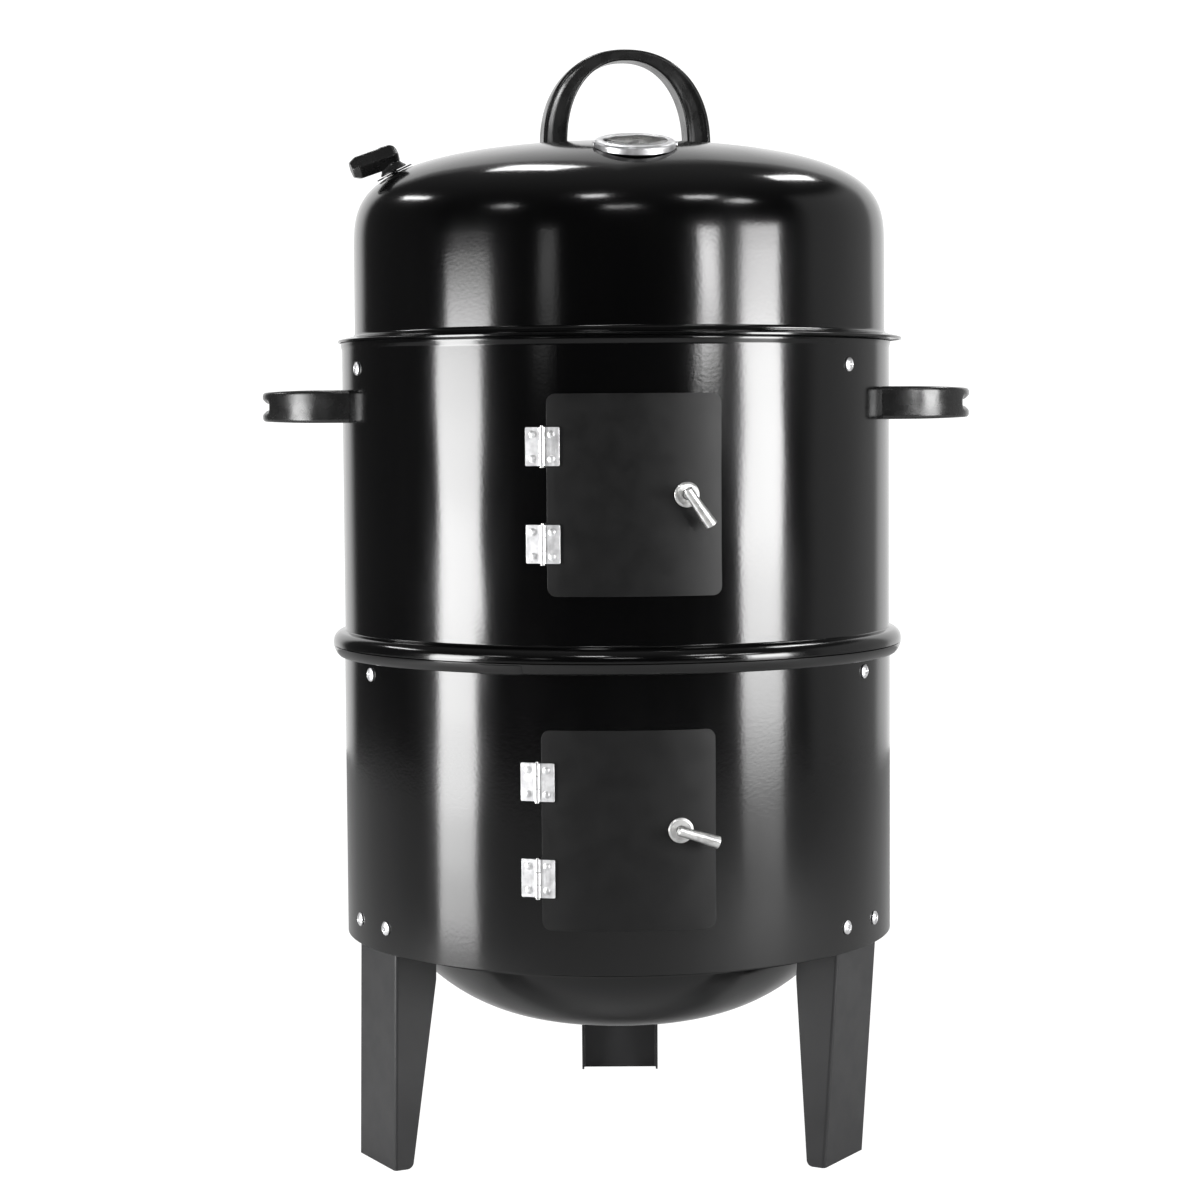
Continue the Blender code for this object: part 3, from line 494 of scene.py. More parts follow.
# ---- materials ----
class Tree:
    """Adds nodes whose inputs are given as numbers, colours or other nodes' outputs."""

    def __init__(self, tree):
        self.tree = tree

    def feed(self, socket, value):
        if isinstance(value, bpy.types.NodeSocket):
            self.tree.links.new(value, socket)
        else:
            socket.default_value = value

    def add(self, kind, **inputs):
        node = self.tree.nodes.new(kind)
        for key, value in inputs.items():
            self.feed(node.inputs[key.replace("_", " ")], value)
        return node

    def math(self, operation, *values):
        node = self.tree.nodes.new("ShaderNodeMath")
        node.operation = operation
        for socket, value in zip(node.inputs, values):
            self.feed(socket, value)
        return node.outputs[0]

    def ranged(self, value, low, high, start=0.3, end=0.7, kind="LINEAR"):
        """A value from start to end carried over to low to high, and held there beyond."""
        node = self.add("ShaderNodeMapRange", Value=value, From_Min=start, From_Max=end)
        node.interpolation_type = kind
        self.feed(node.inputs["To Min"], low)
        self.feed(node.inputs["To Max"], high)
        return node.outputs[0]


class Surface(Tree):
    """Builds one procedural material around a Principled shader."""

    def __init__(self, name, metallic=0.0):
        self.material = bpy.data.materials.new(name)
        self.material.use_nodes = True
        super().__init__(self.material.node_tree)
        self.shader = self.tree.nodes["Principled BSDF"]
        self.put(Metallic=metallic)
        self.place = self.add("ShaderNodeTexCoord").outputs["Object"]
        self.normal = None

    def put(self, **sockets):
        for key, value in sockets.items():
            self.feed(self.shader.inputs[key.replace("_", " ")], value)

    def noise(self, scale, detail, stretch=(1.0, 1.0, 1.0)):
        mapping = self.add("ShaderNodeMapping", Vector=self.place, Scale=stretch)
        node = self.add("ShaderNodeTexNoise", Vector=mapping.outputs[0], Scale=scale, Detail=detail)
        return node.outputs["Fac"]

    def mottle(self, noise, first, second, start=0.3, end=0.7):
        """Patches of two colours. A noise is its scale, its detail and how it is stretched."""
        node = self.tree.nodes.new("ShaderNodeMix")
        node.data_type = "RGBA"
        self.feed(node.inputs[0], self.ranged(self.noise(*noise), 0.0, 1.0, start, end))
        self.feed(node.inputs[6], (*first, 1.0))
        self.feed(node.inputs[7], (*second, 1.0))
        self.put(Base_Color=node.outputs[2])

    def rough(self, noise, low, high):
        self.put(Roughness=self.ranged(self.noise(*noise), low, high))

    def bump(self, noise, distance):
        node = self.add("ShaderNodeBump", Height=self.noise(*noise), Distance=distance, Strength=1.0)
        if self.normal:
            self.feed(node.inputs["Normal"], self.normal)
        self.normal = node.outputs[0]
        self.put(Normal=self.normal)


def coat(name, dark, light, clouds, smears, roughness, bumps, **extra):
    """A black finish, clouded between two colours and smeared between two roughnesses, with fine bumps."""
    made = Surface(name)
    made.mottle(clouds, dark, light)
    made.rough(smears, *roughness)
    made.put(**extra)
    for noise, height in bumps:
        made.bump(noise, height)
    return made.material


def metal(name, colour, roughness, spread, brush, height):
    """Metal with brushing along the axes where brush is small, and darker grime in places."""
    made = Surface(name, 1.0)
    darker = tuple(value * 0.72 for value in colour)
    lines = (900.0, 3.0, brush)
    made.mottle((160.0, 5.0), darker, colour, 0.35, 0.6)
    made.rough(lines, roughness - spread, roughness + spread)
    made.bump(lines, height)
    return made.material


def clear_glass():
    made = Surface("gauge_clear_glass")
    made.put(Base_Color=(1.0, 1.0, 1.0, 1.0), Transmission_Weight=1.0, IOR=1.45)
    made.rough((120.0, 3.0), 0.01, 0.03)
    made.bump((40.0, 1.0), 0.00002)
    return made.material


def printed(name, colour, spread):
    """Printing ink, its worn patches the colour times the spread."""
    made = Surface(name)
    worn = tuple(min(1.0, value * spread) for value in colour)
    made.mottle((260.0, 4.0), worn, colour)
    made.rough((500.0, 3.0), 0.38, 0.52)
    made.bump((3000.0, 1.0), 0.00001)
    return made.material


FINISHES = {
    # Fired gloss enamel: near black, gently wavy, with a fine orange peel and a few dull patches.
    "enamel": coat(
        "enamel_gloss", (0.0004, 0.0004, 0.0005), (0.001, 0.001, 0.0011),
        (9.0, 4.0), (26.0, 5.0, (1.0, 1.0, 0.25)), (0.11, 0.16),
        [((14.0, 1.0, (1.0, 1.0, 0.45)), 0.0009), ((420.0, 1.0), 0.00002)],
    ),
    # Heat-resistant matte paint, finely textured.
    "door_black": coat(
        "door_matte_paint", (0.0004, 0.0004, 0.0005), (0.0009, 0.0009, 0.001),
        (22.0, 5.0), (60.0, 4.0), (0.39, 0.47), [((2600.0, 2.0), 0.00003)], Specular_IOR_Level=0.42,
    ),
    # Satin powder coat with a fine grain.
    "leg_black": coat(
        "leg_satin_coat", (0.0135, 0.0135, 0.0143), (0.0185, 0.0185, 0.0193),
        (30.0, 4.0), (45.0, 4.0, (1.0, 1.0, 0.3)), (0.36, 0.47), [((1500.0, 2.0), 0.000025)],
    ),
    # Heat-resistant moulded resin: polished by the mould on top of a slight flow pattern.
    "moulded": coat(
        "moulded_resin", (0.0065, 0.0065, 0.0065), (0.011, 0.011, 0.011),
        (55.0, 4.0), (70.0, 5.0), (0.2, 0.34), [((900.0, 2.0), 0.00002), ((60.0, 2.0), 0.0003)],
    ),
    "zinc": metal("zinc_plate", (0.86, 0.86, 0.87), 0.46, 0.07, (1.0, 1.0, 0.06), 0.000012),
    "steel": metal("satin_steel", (0.82, 0.82, 0.81), 0.38, 0.07, (0.05, 1.0, 1.0), 0.00001),
    "chrome": metal("polished_chrome", (0.7, 0.7, 0.71), 0.4, 0.05, (1.0, 1.0, 1.0), 0.000003),
    "gauge_glass": clear_glass(),
    "needle_black": printed("printed_black", (0.012, 0.012, 0.012), 1.6),
}
DIAL_WHITE = printed("printed_white", (0.78, 0.77, 0.73), 0.94)


# ---- the lid's dome ----
def dome_point(angle):
    radius = LID_R * sin(angle) ** (2 / LID_WIDTH_POWER)
    return radius, LID_SPRING + LID_RISE * cos(angle) ** (2 / LID_HEIGHT_POWER)


def dome_height(radius):
    across = min(1.0, radius / LID_R) ** LID_WIDTH_POWER
    return LID_SPRING + LID_RISE * (1 - across) ** (1 / LID_HEIGHT_POWER)


def dome_frame(azimuth, radius, lift=0.0):
    """The wall frame on the dome's outside, at a distance from the axis."""
    angle = asin((radius / LID_R) ** (LID_WIDTH_POWER / 2))
    before = dome_point(angle - 0.01)
    after = dome_point(angle + 0.01)
    rise = atan2(after[0] - before[0], before[1] - after[1])
    return shifted(x=LID_SHIFT) @ wall_frame(azimuth, radius, dome_point(angle)[1], rise) @ shifted(z=lift)


def bead_point(turn, grown=0.0):
    """A point (r, z) on the oval bead: its upper half is the barrel's, its lower half the hoop's."""
    angle = radians(turn)
    height = BEAD_ABOVE if turn > 0 else BEAD_BELOW
    radius = BEAD_R - BEAD_DEPTH * (1 - cos(angle))
    return radius + grown * cos(angle), BEAD_MIDDLE + (height + grown) * sin(angle)


def hug_dome(bm, place, beyond, under, deepest=1.0):
    """Lowers the vertices past a radius and under a height onto the dome, by at most the deepest."""
    for vert in bm.verts:
        if hypot(vert.co.x, vert.co.y) < beyond or vert.co.z > under:
            continue
        spot = place @ vert.co
        gap = spot.z - dome_height(hypot(spot.x - LID_SHIFT, spot.y))
        vert.co.z -= min(deepest, max(0.0, gap * place.col[2].z - GAP))


# ---- shells ----
def make_seam(name, body, radius, low, high):
    """The lapped joint down the back of a rolled sheet."""
    half = degrees_along(SEAM_HALF_WIDTH, radius)
    outline = ((-1, -0.0004), (-1, 0.0003), (-0.9, 0.0006), (0.9, 0.0006), (1, 0.0003), (1, -0.0004))
    sections = []
    for z in (low, high):
        points = [wall_frame(180 + half * share, radius + lift, z) for share, lift in outline]
        sections.append([point.translation for point in points])
    piece(name, loft(sections), body, "enamel")


def make_barrel(level, body, line, low, high):
    """A barrel whose outer face is the line, with its door opening, and its seam from low to high."""
    azimuth, radius, z, _ = DOORS[level]
    barrel = stand_in(level + "_barrel", lathe(sheet_profile(line, -SHEET)), body, "enamel")
    size = (2 * (DOOR_HALF_WIDTH - DOOR_OVERLAP), DOOR_HEIGHT - 2 * DOOR_OVERLAP, 0.04)
    opening = bmesh.new()
    add_block(opening, size, wall_frame(azimuth, radius, z), DOOR_CORNER)
    cut(barrel, opening)
    make_seam(level + "_barrel_seam", body, radius, low, high)


def make_lower_barrel():
    line = [Vector((LOWER_R, LOWER_TOP)), Vector((LOWER_R, LOWER_BOTTOM))]
    make_barrel("lower", "base", line, LOWER_BOTTOM + 0.001, HOOP_BOTTOM - 0.0005)


def make_hoop():
    """The half-round hoop that the upper section stands on, and the lap of its ends."""
    inner = LOWER_R + GAP
    top = UPPER_BOTTOM - GAP
    line = [(inner, top), (BEAD_R - 0.0006, top)]
    line += [bead_point(turn) for turn in range(-14, -65, -3)]
    line.append((inner, HOOP_BOTTOM, 0.0006))
    stand_in("stacking_hoop", lathe(fillet(line, closed=True)), "base", "enamel")
    sections = []
    for share in shares(LAP_STEPS):
        azimuth = LAP_START + (LAP_END - LAP_START) * share
        thin = 0.0005 if 0 < share < 1 else 0.0002
        outline = [(inner + 0.001, top - 0.0024), (inner + 0.001, HOOP_BOTTOM - thin)]
        outline += [bead_point(turn, thin) for turn in range(-64, -18, 5)]
        sections.append([wall_frame(azimuth, r, z).translation for r, z in outline])
    piece("stacking_hoop_lap", loft(sections), "base", "enamel")


def make_upper_barrel():
    """The barrel under the lid, flared into the bead's upper half at its foot."""
    wall = [
        (UPPER_R + 0.0005, UPPER_TOP), (UPPER_R + 0.0009, UPPER_TOP - 0.003, 0.004),
        (UPPER_R, UPPER_TOP - 0.0065, 0.006), (UPPER_R, UPPER_BOTTOM + 0.0104, 0.0013),
    ]
    line = fillet(wall + [bead_point(turn) for turn in range(68, -11, -6)])
    line.append(Vector((BEAD_R - 0.004, UPPER_BOTTOM + 0.0001)))
    make_barrel("upper", "upper_section", line, UPPER_BOTTOM + 0.012, UPPER_TOP - 0.0072)


def drill_vents(obj, place, first):
    """Round holes through a sheet about the place's z axis, turned by a share of their pitch."""
    holes = bmesh.new()
    for step in range(VENT_HOLES):
        spot = place @ turned(360 / VENT_HOLES * (step + first)) @ shifted(x=DAMPER_HOLE_RING)
        add_rod(holes, -0.012, 0.012, DAMPER_HOLE_R, 24, spot)
    cut(obj, holes)


def make_lid():
    """The domed lid, with its brim turned out over the barrel's edge."""
    brim = UPPER_TOP + GAP
    crown = LID_SPRING + LID_RISE
    dome = [Vector(dome_point(pi / 2 * share)) for share in shares(DOME_STEPS)[:-1]]
    wall = [
        (LID_R, LID_SPRING), (LID_R, LID_SPRING - 0.001), (LID_R, brim + 0.0034, 0.003),
        (BRIM_R, brim + 0.0005, 0.0007), (BRIM_R - 0.0002, brim - 0.0012),
    ]
    line = dome + fillet(wall)
    line[0] = Vector((0.0, crown))
    inner = offset(line, -SHEET)
    inner[0] = Vector((0.0, crown - SHEET))
    shell = lathe(line + inner[::-1], closed=False)
    lid = stand_in("lid_shell", shell, "lid", "enamel", shifted(x=LID_SHIFT))
    drill_vents(lid, dome_frame(DAMPER_AZIMUTH, DAMPER_FROM_AXIS), 0.0)


def make_bowl():
    """The fire bowl: a deep dish with a rolled rim, its curve the CAD's two arcs."""
    centre = (0.0444, 0.2249)
    shoulder = 0.1376
    bottom = 0.0825
    crown = 0.3447
    meet = 77.6
    rim = degrees(asin((centre[1] - BOWL_RIM_Z) / shoulder))
    line = [Vector((BOWL_RIM_R - 0.0004, BOWL_RIM_Z - 0.0002))]
    line += arc(centre, shoulder, -rim, -meet, 24)
    line += arc((0.0, bottom + crown), crown, -meet, -90, 12)[1:]
    line[-1].x = 0.0
    inner = offset(line, -SHEET)
    inner[-1] = Vector((0.0, bottom + SHEET))
    stand_in("fire_bowl", lathe(line + inner[::-1], closed=False), "fire_bowl", "enamel")
    bead = bmesh.new()
    ring = circle(BOWL_RIM_R - BOWL_BEAD, ROUND, BOWL_RIM_Z - BOWL_BEAD)
    add_tube(bead, ring, BOWL_BEAD, 10, looped=True)
    piece("fire_bowl_rolled_rim", bead, "fire_bowl", "enamel")


def make_pan():
    """The water pan: a dish hung by its flat rim, drawn along its underside and thickened upward."""
    floor = PAN_RIM_Z - 0.082
    rim = PAN_RIM_Z - SHEET
    wall = [(0.163 + SHEET, rim, 0.0018), (0.159, floor + 0.0004, 0.0095)]
    under = fillet([(PAN_RIM_R, rim)] + wall + [(0.0, floor)])
    over = offset(under, -SHEET)
    over[-1].x = 0.0
    stand_in("water_pan", lathe(over[::-1] + under, closed=False), "water_pan", "enamel")


# ---- doors ----
def door_edge(radius):
    """The angle from a door's middle to its edge."""
    return degrees(asin(DOOR_HALF_WIDTH / (radius + DOOR_FACE)))


def hinge_frame(azimuth, radius, z):
    turn = azimuth - door_edge(radius) - degrees_along(HINGE_EDGE, radius)
    return wall_frame(turn, radius + KNUCKLE_RISE, z)


def latch_frame(azimuth, radius, z):
    turn = azimuth + door_edge(radius) - degrees_along(LATCH_FROM_EDGE, radius)
    return wall_frame(turn, radius + DOOR_FACE, z)


def make_door(level, azimuth, radius, z):
    """A curved panel, lofted across in columns whose ends follow the rounded corners."""
    flat = DOOR_HALF_WIDTH - DOOR_CORNER
    left = arc((-flat, DOOR_HEIGHT / 2 - DOOR_CORNER), DOOR_CORNER, 180, 90, CORNER_STEPS)
    middle = [(flat * (2 * share - 1), DOOR_HEIGHT / 2) for share in shares(DOOR_STEPS)[1:-1]]
    right = [(-x, half) for x, half in left[::-1]]
    sections = []
    for x, half in left + middle + right:
        levels = [half * (2 * share - 1) for share in shares(DOOR_ROWS)]
        front = sqrt((radius + DOOR_FACE) ** 2 - x**2)
        back = sqrt((radius + DOOR_STANDOFF) ** 2 - x**2)
        sections.append([(x, y, front) for y in levels] + [(x, y, back) for y in levels[::-1]])
    bm = bmesh.new()
    add_loft(bm, sections, wall_frame(azimuth, 0.0, z))
    door = stand_in(level + "_door", bm, level + "_door", "door_black")
    hole = bmesh.new()
    add_rod(hole, -0.006, 0.006, SPINDLE_HOLE_R, 24, latch_frame(azimuth, radius, z))
    cut(door, hole)
    ease_edges(door, 0.0003)


def add_rivet(bm, matrix, tail=None):
    """A domed rivet head, and where it has a tail, the shank and the flat end that far behind."""
    head = mm((0, 1.1), (1.3, 1, 0.6), (2.1, 0.4, 0.3), (2.6, 0.2, 0.1))
    head += mm((2.6, -0.3), (0, -0.3))
    add_lathe(bm, fillet(head), 24, matrix, closed=False)
    if tail is not None:
        end = mm((0, 0.2), (2.1, 0.2), (2.1, -0.6), (1.4, -1), (0, -1))
        add_lathe(bm, end, 24, matrix @ shifted(z=-tail), closed=False)
        add_rod(bm, -tail, 0, 0.0014, 16, matrix)


def make_leaf(name, body, azimuth, radius, z, hand, face, tail):
    """One hinge leaf, its hand being its side of the pin: a plate with rolled knuckles and two rivets."""
    away = HINGE_EDGE - hand * (KNUCKLE_R + LEAF_WIDTH) / 2
    turn = azimuth - door_edge(radius) - degrees_along(away, radius)
    seat = wall_frame(turn, radius + face + GAP, z)
    axis = hinge_frame(azimuth, radius, z)
    bm = bmesh.new()
    plate = seat @ shifted(z=LEAF_SHEET / 2)
    add_block(bm, (LEAF_WIDTH - 0.0004, HINGE_HEIGHT, LEAF_SHEET), plate, 0.0008)
    third = HINGE_HEIGHT / 3
    spans = [(-third * 1.5, -third * 0.5 - GAP), (third * 0.5 + GAP, third * 1.5)]
    if hand > 0:
        spans = [(-third * 0.5, third * 0.5)]
    sleeve = [(KNUCKLE_R, 0.0002), (KNUCKLE_R - 0.0002, 0.0), (KNUCKLE_BORE_R, 0.0)]
    near = axis.inverted() @ plate @ Vector((-hand * (LEAF_WIDTH / 2 - 0.001), 0.0, 0.0))
    bend = [
        (near.x, near.z - LEAF_SHEET / 2), (near.x, near.z + LEAF_SHEET / 2),
        (hand * KNUCKLE_R * 0.8, 0.0002), (hand * KNUCKLE_R * 0.62, -0.0013),
    ]
    for low, high in spans:
        tube = sleeve + [(r, high - low - inset) for r, inset in sleeve[::-1]]
        add_lathe(bm, tube, 24, axis @ shifted(y=low) @ turned(-90, "X"))
        add_loft(bm, [[(x, y, depth) for x, depth in bend] for y in (low + 0.0001, high - 0.0001)], axis)
    for rise in (RIVET_RISE, -RIVET_RISE):
        add_rivet(bm, seat @ shifted(y=rise, z=LEAF_SHEET), tail)
    ease_edges(stand_in(name, bm, body, "zinc"), 0.00015)


def make_pin(name, body, azimuth, radius, z):
    """A hinge pin with a button head on top and an eased end."""
    half = HINGE_HEIGHT / 2
    head = [(0.0, half + 0.0012), (0.0016, half + 0.0012, 0.0006), (0.0016, half + GAP, 0.0002)]
    rest = [(PIN_R, half + GAP), (PIN_R, -half - 0.0008), (0.0, -half - 0.0011)]
    bm = bmesh.new()
    add_lathe(bm, fillet(head + rest), 24, hinge_frame(azimuth, radius, z) @ turned(90, "X"), closed=False)
    stand_in(name, bm, body, "steel")


def make_hinges(level, azimuth, radius, z):
    door = level + "_door"
    fixed = "base" if level == "lower" else "upper_section"
    grip = LEAF_SHEET + 3 * GAP + SHEET
    for which, height in (("top", HINGE_SPREAD), ("bottom", -HINGE_SPREAD)):
        name = level + "_hinge_" + which
        place = (azimuth, radius, z + height)
        make_leaf(name + "_barrel_leaf", fixed, *place, hand=-1, face=0.0, tail=grip)
        make_leaf(name + "_door_leaf", door, *place, hand=1, face=DOOR_FACE, tail=None)
        make_pin(name + "_pin", fixed, *place)


def make_latch(level, azimuth, radius, z, lever_turn):
    """The latch's rosette, and its lever in one with the spindle. The cam is the CAD's."""
    place = latch_frame(azimuth, radius, z)
    inside = SPINDLE_HOLE_R
    ring = [(inside, GAP), (0.0085, GAP), (0.0085, 0.001, 0.0005), (0.007, 0.0019, 0.0006)]
    rosette = lathe(fillet(ring + [(inside, 0.0019, 0.0002)], closed=True), SMALL_ROUND)
    stand_in(level + "_latch_rosette", rosette, level + "_door", "steel", place)
    spindle = [(0.0, LATCH_RISE), (0.0028, LATCH_RISE), (0.0028, -0.0095, 0.0004), (0.0, -0.0095)]
    lever = lathe(fillet(spindle), 32, closed=False)
    bar = [
        (0.0, -0.0046), (0.0022, -0.0046, 0.0001), (0.0024, -0.004, 0.0001),
        (0.0034, -0.004, 0.0004), (0.0034, 0.005, 0.02), (0.0042, LATCH_REACH - 0.004, 0.0007),
        (0.0, LATCH_REACH - 0.0036),
    ]
    along = turned(lever_turn) @ shifted(z=LATCH_RISE) @ turned(90, "Y")
    add_lathe(lever, fillet(bar), 40, along, closed=False)
    stand_in(level + "_latch_lever", lever, level + "_latch", "steel", place)
    ease_edges(frame["nodes"][level + "_latch_cam"], 0.0002)


# ---- legs and fasteners ----
def leg_flange(z):
    """The flange's depth at a height, straight with a rounded foot corner."""
    if z >= LEG_FLANGE_END:
        return LEG_FLANGE_TOP
    share = max(0.0, z - LEG_FOOT_CORNER) / (LEG_FLANGE_END - LEG_FOOT_CORNER)
    depth = LEG_FLANGE_FOOT + (LEG_FLANGE_TOP - LEG_FLANGE_FOOT) * share
    if z < LEG_FOOT_CORNER:
        rise = (LEG_FOOT_CORNER - z) / LEG_FOOT_CORNER
        depth -= LEG_FOOT_CORNER * (1 - sqrt(max(0.0, 1 - rise * rise)))
    return depth


def make_leg(side):
    """A folded channel with bent edges, and the tab that is bolted inside the barrel."""
    azimuth = LEG_AZIMUTHS[side]
    lean = tan(radians(LEG_LEANS[side]))
    levels = [LEG_FOOT_CORNER * (1 - cos(pi / 2 * share)) for share in shares(8)]
    levels += [LEG_FOOT_CORNER + (LEG_FLANGE_END - LEG_FOOT_CORNER) * share for share in shares(16)[1:]]
    levels += [LEG_TOP - 0.01, LEG_TOP - 0.005, LEG_SHOULDER]
    half = LEG_HALF_WIDTH
    sections = []
    for z in levels:
        depth = leg_flange(z)
        face = -lean * (LEG_TOP - z)
        outer = fillet([(-half, -depth), (-half, 0.0, LEG_BEND), (half, 0.0, LEG_BEND), (half, -depth)])
        section = outer + offset(outer, -PLATE)[::-1]
        sections.append([(point.x, z, face + point.y) for point in section])
    bm = loft(sections)
    flat = half - LEG_BEND
    low = LEG_SHOULDER - 0.002
    tab = [(-flat, low), (flat, low), (flat, LEG_TAB_TOP, 0.0015), (-flat, LEG_TAB_TOP, 0.0015)]
    add_prism(bm, fillet(tab, closed=True), -PLATE, 0.0)
    name = "leg_" + side
    ease_edges(stand_in(name, bm, "base", "leg_black", wall_frame(azimuth, LEG_FACE, 0.0)), 0.0003)
    slant = radians(LEG_BOLT_SPREAD)
    back = (LEG_FACE - PLATE) / cos(slant) - NUT_R * tan(slant)
    for hand, sign in (("a", -1), ("b", 1)):
        place = wall_frame(azimuth + sign * LEG_BOLT_SPREAD, LOWER_R, LEG_BOLT_Z)
        make_bolt(name + "_bolt_" + hand, "base", place, LOWER_R - back + GAP, 17 * sign + azimuth)


def bolt_mesh(grip):
    """A pan-head cross-recess screw with its hexagon nut, a grip's length behind its head."""
    head = [(0.0, 0.0023), (BOLT_HEAD_R * 0.62, 0.0021, 0.003), (BOLT_HEAD_R, 0.0008, 0.001)]
    shank = [(BOLT_HEAD_R, 0.0001), (0.0024, 0.0001), (0.0024, -grip - 0.0044)]
    end = [(0.0019, -grip - 0.005), (0.0, -grip - 0.005)]
    blank = new_object("bolt_blank", mesh_of("bolt", lathe(fillet(head + shank + end), 40, closed=False)))
    half = mm((2.6, 3.4), (2.4, 2.2), (1, 1))
    slot = half + [(-x, z) for x, z in half[::-1]]
    for turn in (0, 90):
        cross = bmesh.new()
        add_loft(cross, [[(x, y, z) for x, z in slot] for y in (-0.00045, 0.00045)], turned(turn))
        cut(blank, cross)
    mesh = blank.data
    bpy.data.objects.remove(blank)
    nut = bmesh.new()
    nut.from_mesh(mesh)
    layers = ((0.004, 0.0), (NUT_R, 0.0006), (NUT_R, 0.0034), (0.004, 0.004))
    add_loft(nut, [circle(radius, 6, -grip - depth) for radius, depth in layers])
    nut.to_mesh(mesh)
    nut.free()
    return mesh


BOLTS = {}


def make_bolt(name, body, place, grip, turn):
    key = round(grip, 5)
    if key not in BOLTS:
        BOLTS[key] = bolt_mesh(grip)
    stand_in(name, BOLTS[key].copy(), body, "zinc", place @ turned(turn))


def make_bracket_bolts():
    """The bolts round the barrels' tops, each gripping the CAD's bracket behind the wall."""
    flat_to_round = cos(pi / CAD_BARREL_STEPS)
    for level, radius, z, places, body in (
        ("lower", LOWER_R, LOWER_BRACKET_Z, LOWER_BRACKETS, "base"),
        ("upper", UPPER_R, UPPER_BRACKET_Z, UPPER_BRACKETS, "upper_section"),
    ):
        face = sqrt(((radius - SHEET) * flat_to_round) ** 2 - BRACKET_HALF_WIDTH**2) - GAP
        grip = radius - face + PLATE + GAP
        for side, azimuth in places.items():
            name = level + "_bracket_" + side
            ease_edges(frame["nodes"][name], 0.0003)
            make_bolt(name + "_bolt", body, wall_frame(azimuth, radius, z), grip, azimuth * 1.7)


# ---- handles ----
def handle_section(angle, height):
    """The band's section at an angle along the arch: its inner point, its outward way and its outline.

    The outline's points are (across, outward). The band narrows and has a groove at the crown, and
    its sides are scooped towards the feet.
    """
    cosine = cos(angle)
    across = copysign(abs(cosine) ** (2 / HANDLE_POWER), cosine)
    up = sin(angle) ** (2 / HANDLE_POWER) if sin(angle) > 1e-9 else 0.0
    outer = Vector((HANDLE_HALF_WIDTH * across, height * up))
    inner = Vector(((HANDLE_HALF_WIDTH - HANDLE_FOOT) * across, (height - HANDLE_CROWN) * up))
    out = outer - inner
    thick = out.length
    out.normalize()
    from_crown = abs(degrees(angle) - 90)
    half = HANDLE_BAND / 2 - 0.0011 * (1 - smooth_step(10, 80, from_crown))
    groove = 0.0036 * (1 - smooth_step(22, 31, from_crown))
    foot = smooth_step(25, 75, from_crown)
    low = 0.0014
    top = 0.0026
    flat = [((half - low) * (2 * share - 1), 0.0) for share in shares(12)]
    side = arc((half - low, low), low, -90, 0, 4)[1:-1]
    for share in shares(12):
        scoop = 0.0013 * foot * smooth_step(0, 0.25, share) * smooth_step(0, 0.25, 1 - share)
        side.append((half - scoop, low + (thick - low - top) * share))
    side += arc((half - top, thick - top), top, 0, 90, 6)[1:-1]
    crest = []
    for share in shares(32):
        w = (half - top) * (1 - 2 * share)
        dip = groove * (1 - smooth_step(0.0012, 0.0062, abs(w)))
        bed = groove * 0.45 * (1 - smooth_step(0.0018, 0.003, abs(w)))
        crest.append((w, thick - dip - bed))
    return inner, out, flat + side + crest + [(-w, rise) for w, rise in side[::-1]]


def make_handle(name, body, place, height, ground):
    """The arched handle, its feet ending on the ground, a function of a point in the handle's frame."""
    sections = []
    for share in shares(HANDLE_STEPS):
        inner, out, points = handle_section(pi * share, height)
        section = [Vector((inner.x + out.x * rise, inner.y + out.y * rise, w)) for w, rise in points]
        if 0 < share < 1:
            sections.append(section)
            continue
        base = [Vector((point.x, ground(point), point.z)) for point in section]
        short = [Vector((point.x, max(point.y, 0.0008), point.z)) for point in section]
        sections += [base, short] if share == 0 else [short, base]
    stand_in(name, loft(sections), body, "moulded", place)


def lid_handle_frame():
    foot = HANDLE_HALF_WIDTH - HANDLE_FOOT - LID_HANDLE_SHIFT
    base = dome_frame(0.0, foot).translation.z + 0.0006
    return shifted(x=LID_SHIFT + LID_HANDLE_SHIFT, z=base) @ turned(LID_HANDLE_TURN) @ turned(90, "X")


def make_handles():
    """The lid's handle, and a side handle on each side with the two screws that hold it from inside."""
    place = lid_handle_frame()
    base = place.translation.z

    def dome_ground(point):
        spot = place @ point
        return dome_height(hypot(spot.x - LID_SHIFT, spot.y)) + 0.0001 - base

    make_handle("lid_handle", "lid", place, LID_HANDLE_HEIGHT, dome_ground)
    reach = sqrt(UPPER_R**2 - (HANDLE_HALF_WIDTH - HANDLE_FOOT) ** 2) + 0.0006

    def barrel_ground(point):
        return sqrt(UPPER_R**2 - point.x**2) + 0.0001 - reach

    head = mm((0, 2.8), (3.2, 2.6, 2), (5, 0.8, 0.6), (5, 0.1), (0, 0.1))
    lean = degrees(asin((HANDLE_HALF_WIDTH - HANDLE_FOOT / 2) / UPPER_R))
    for side, azimuth in (("left", -90.0), ("right", 90.0)):
        name = "side_handle_" + side
        out = wall_frame(azimuth, reach, SIDE_HANDLE_Z) @ turned(90, "X")
        make_handle(name, "upper_section", out, SIDE_HANDLE_HEIGHT, barrel_ground)
        for end, sign in (("front", -1), ("back", 1)):
            inside = wall_frame(azimuth + sign * lean, UPPER_R - SHEET, SIDE_HANDLE_Z) @ turned(180, "X")
            screw = lathe(fillet(head), 32, closed=False)
            piece(name + "_screw_" + end, screw, "upper_section", "zinc", inside)


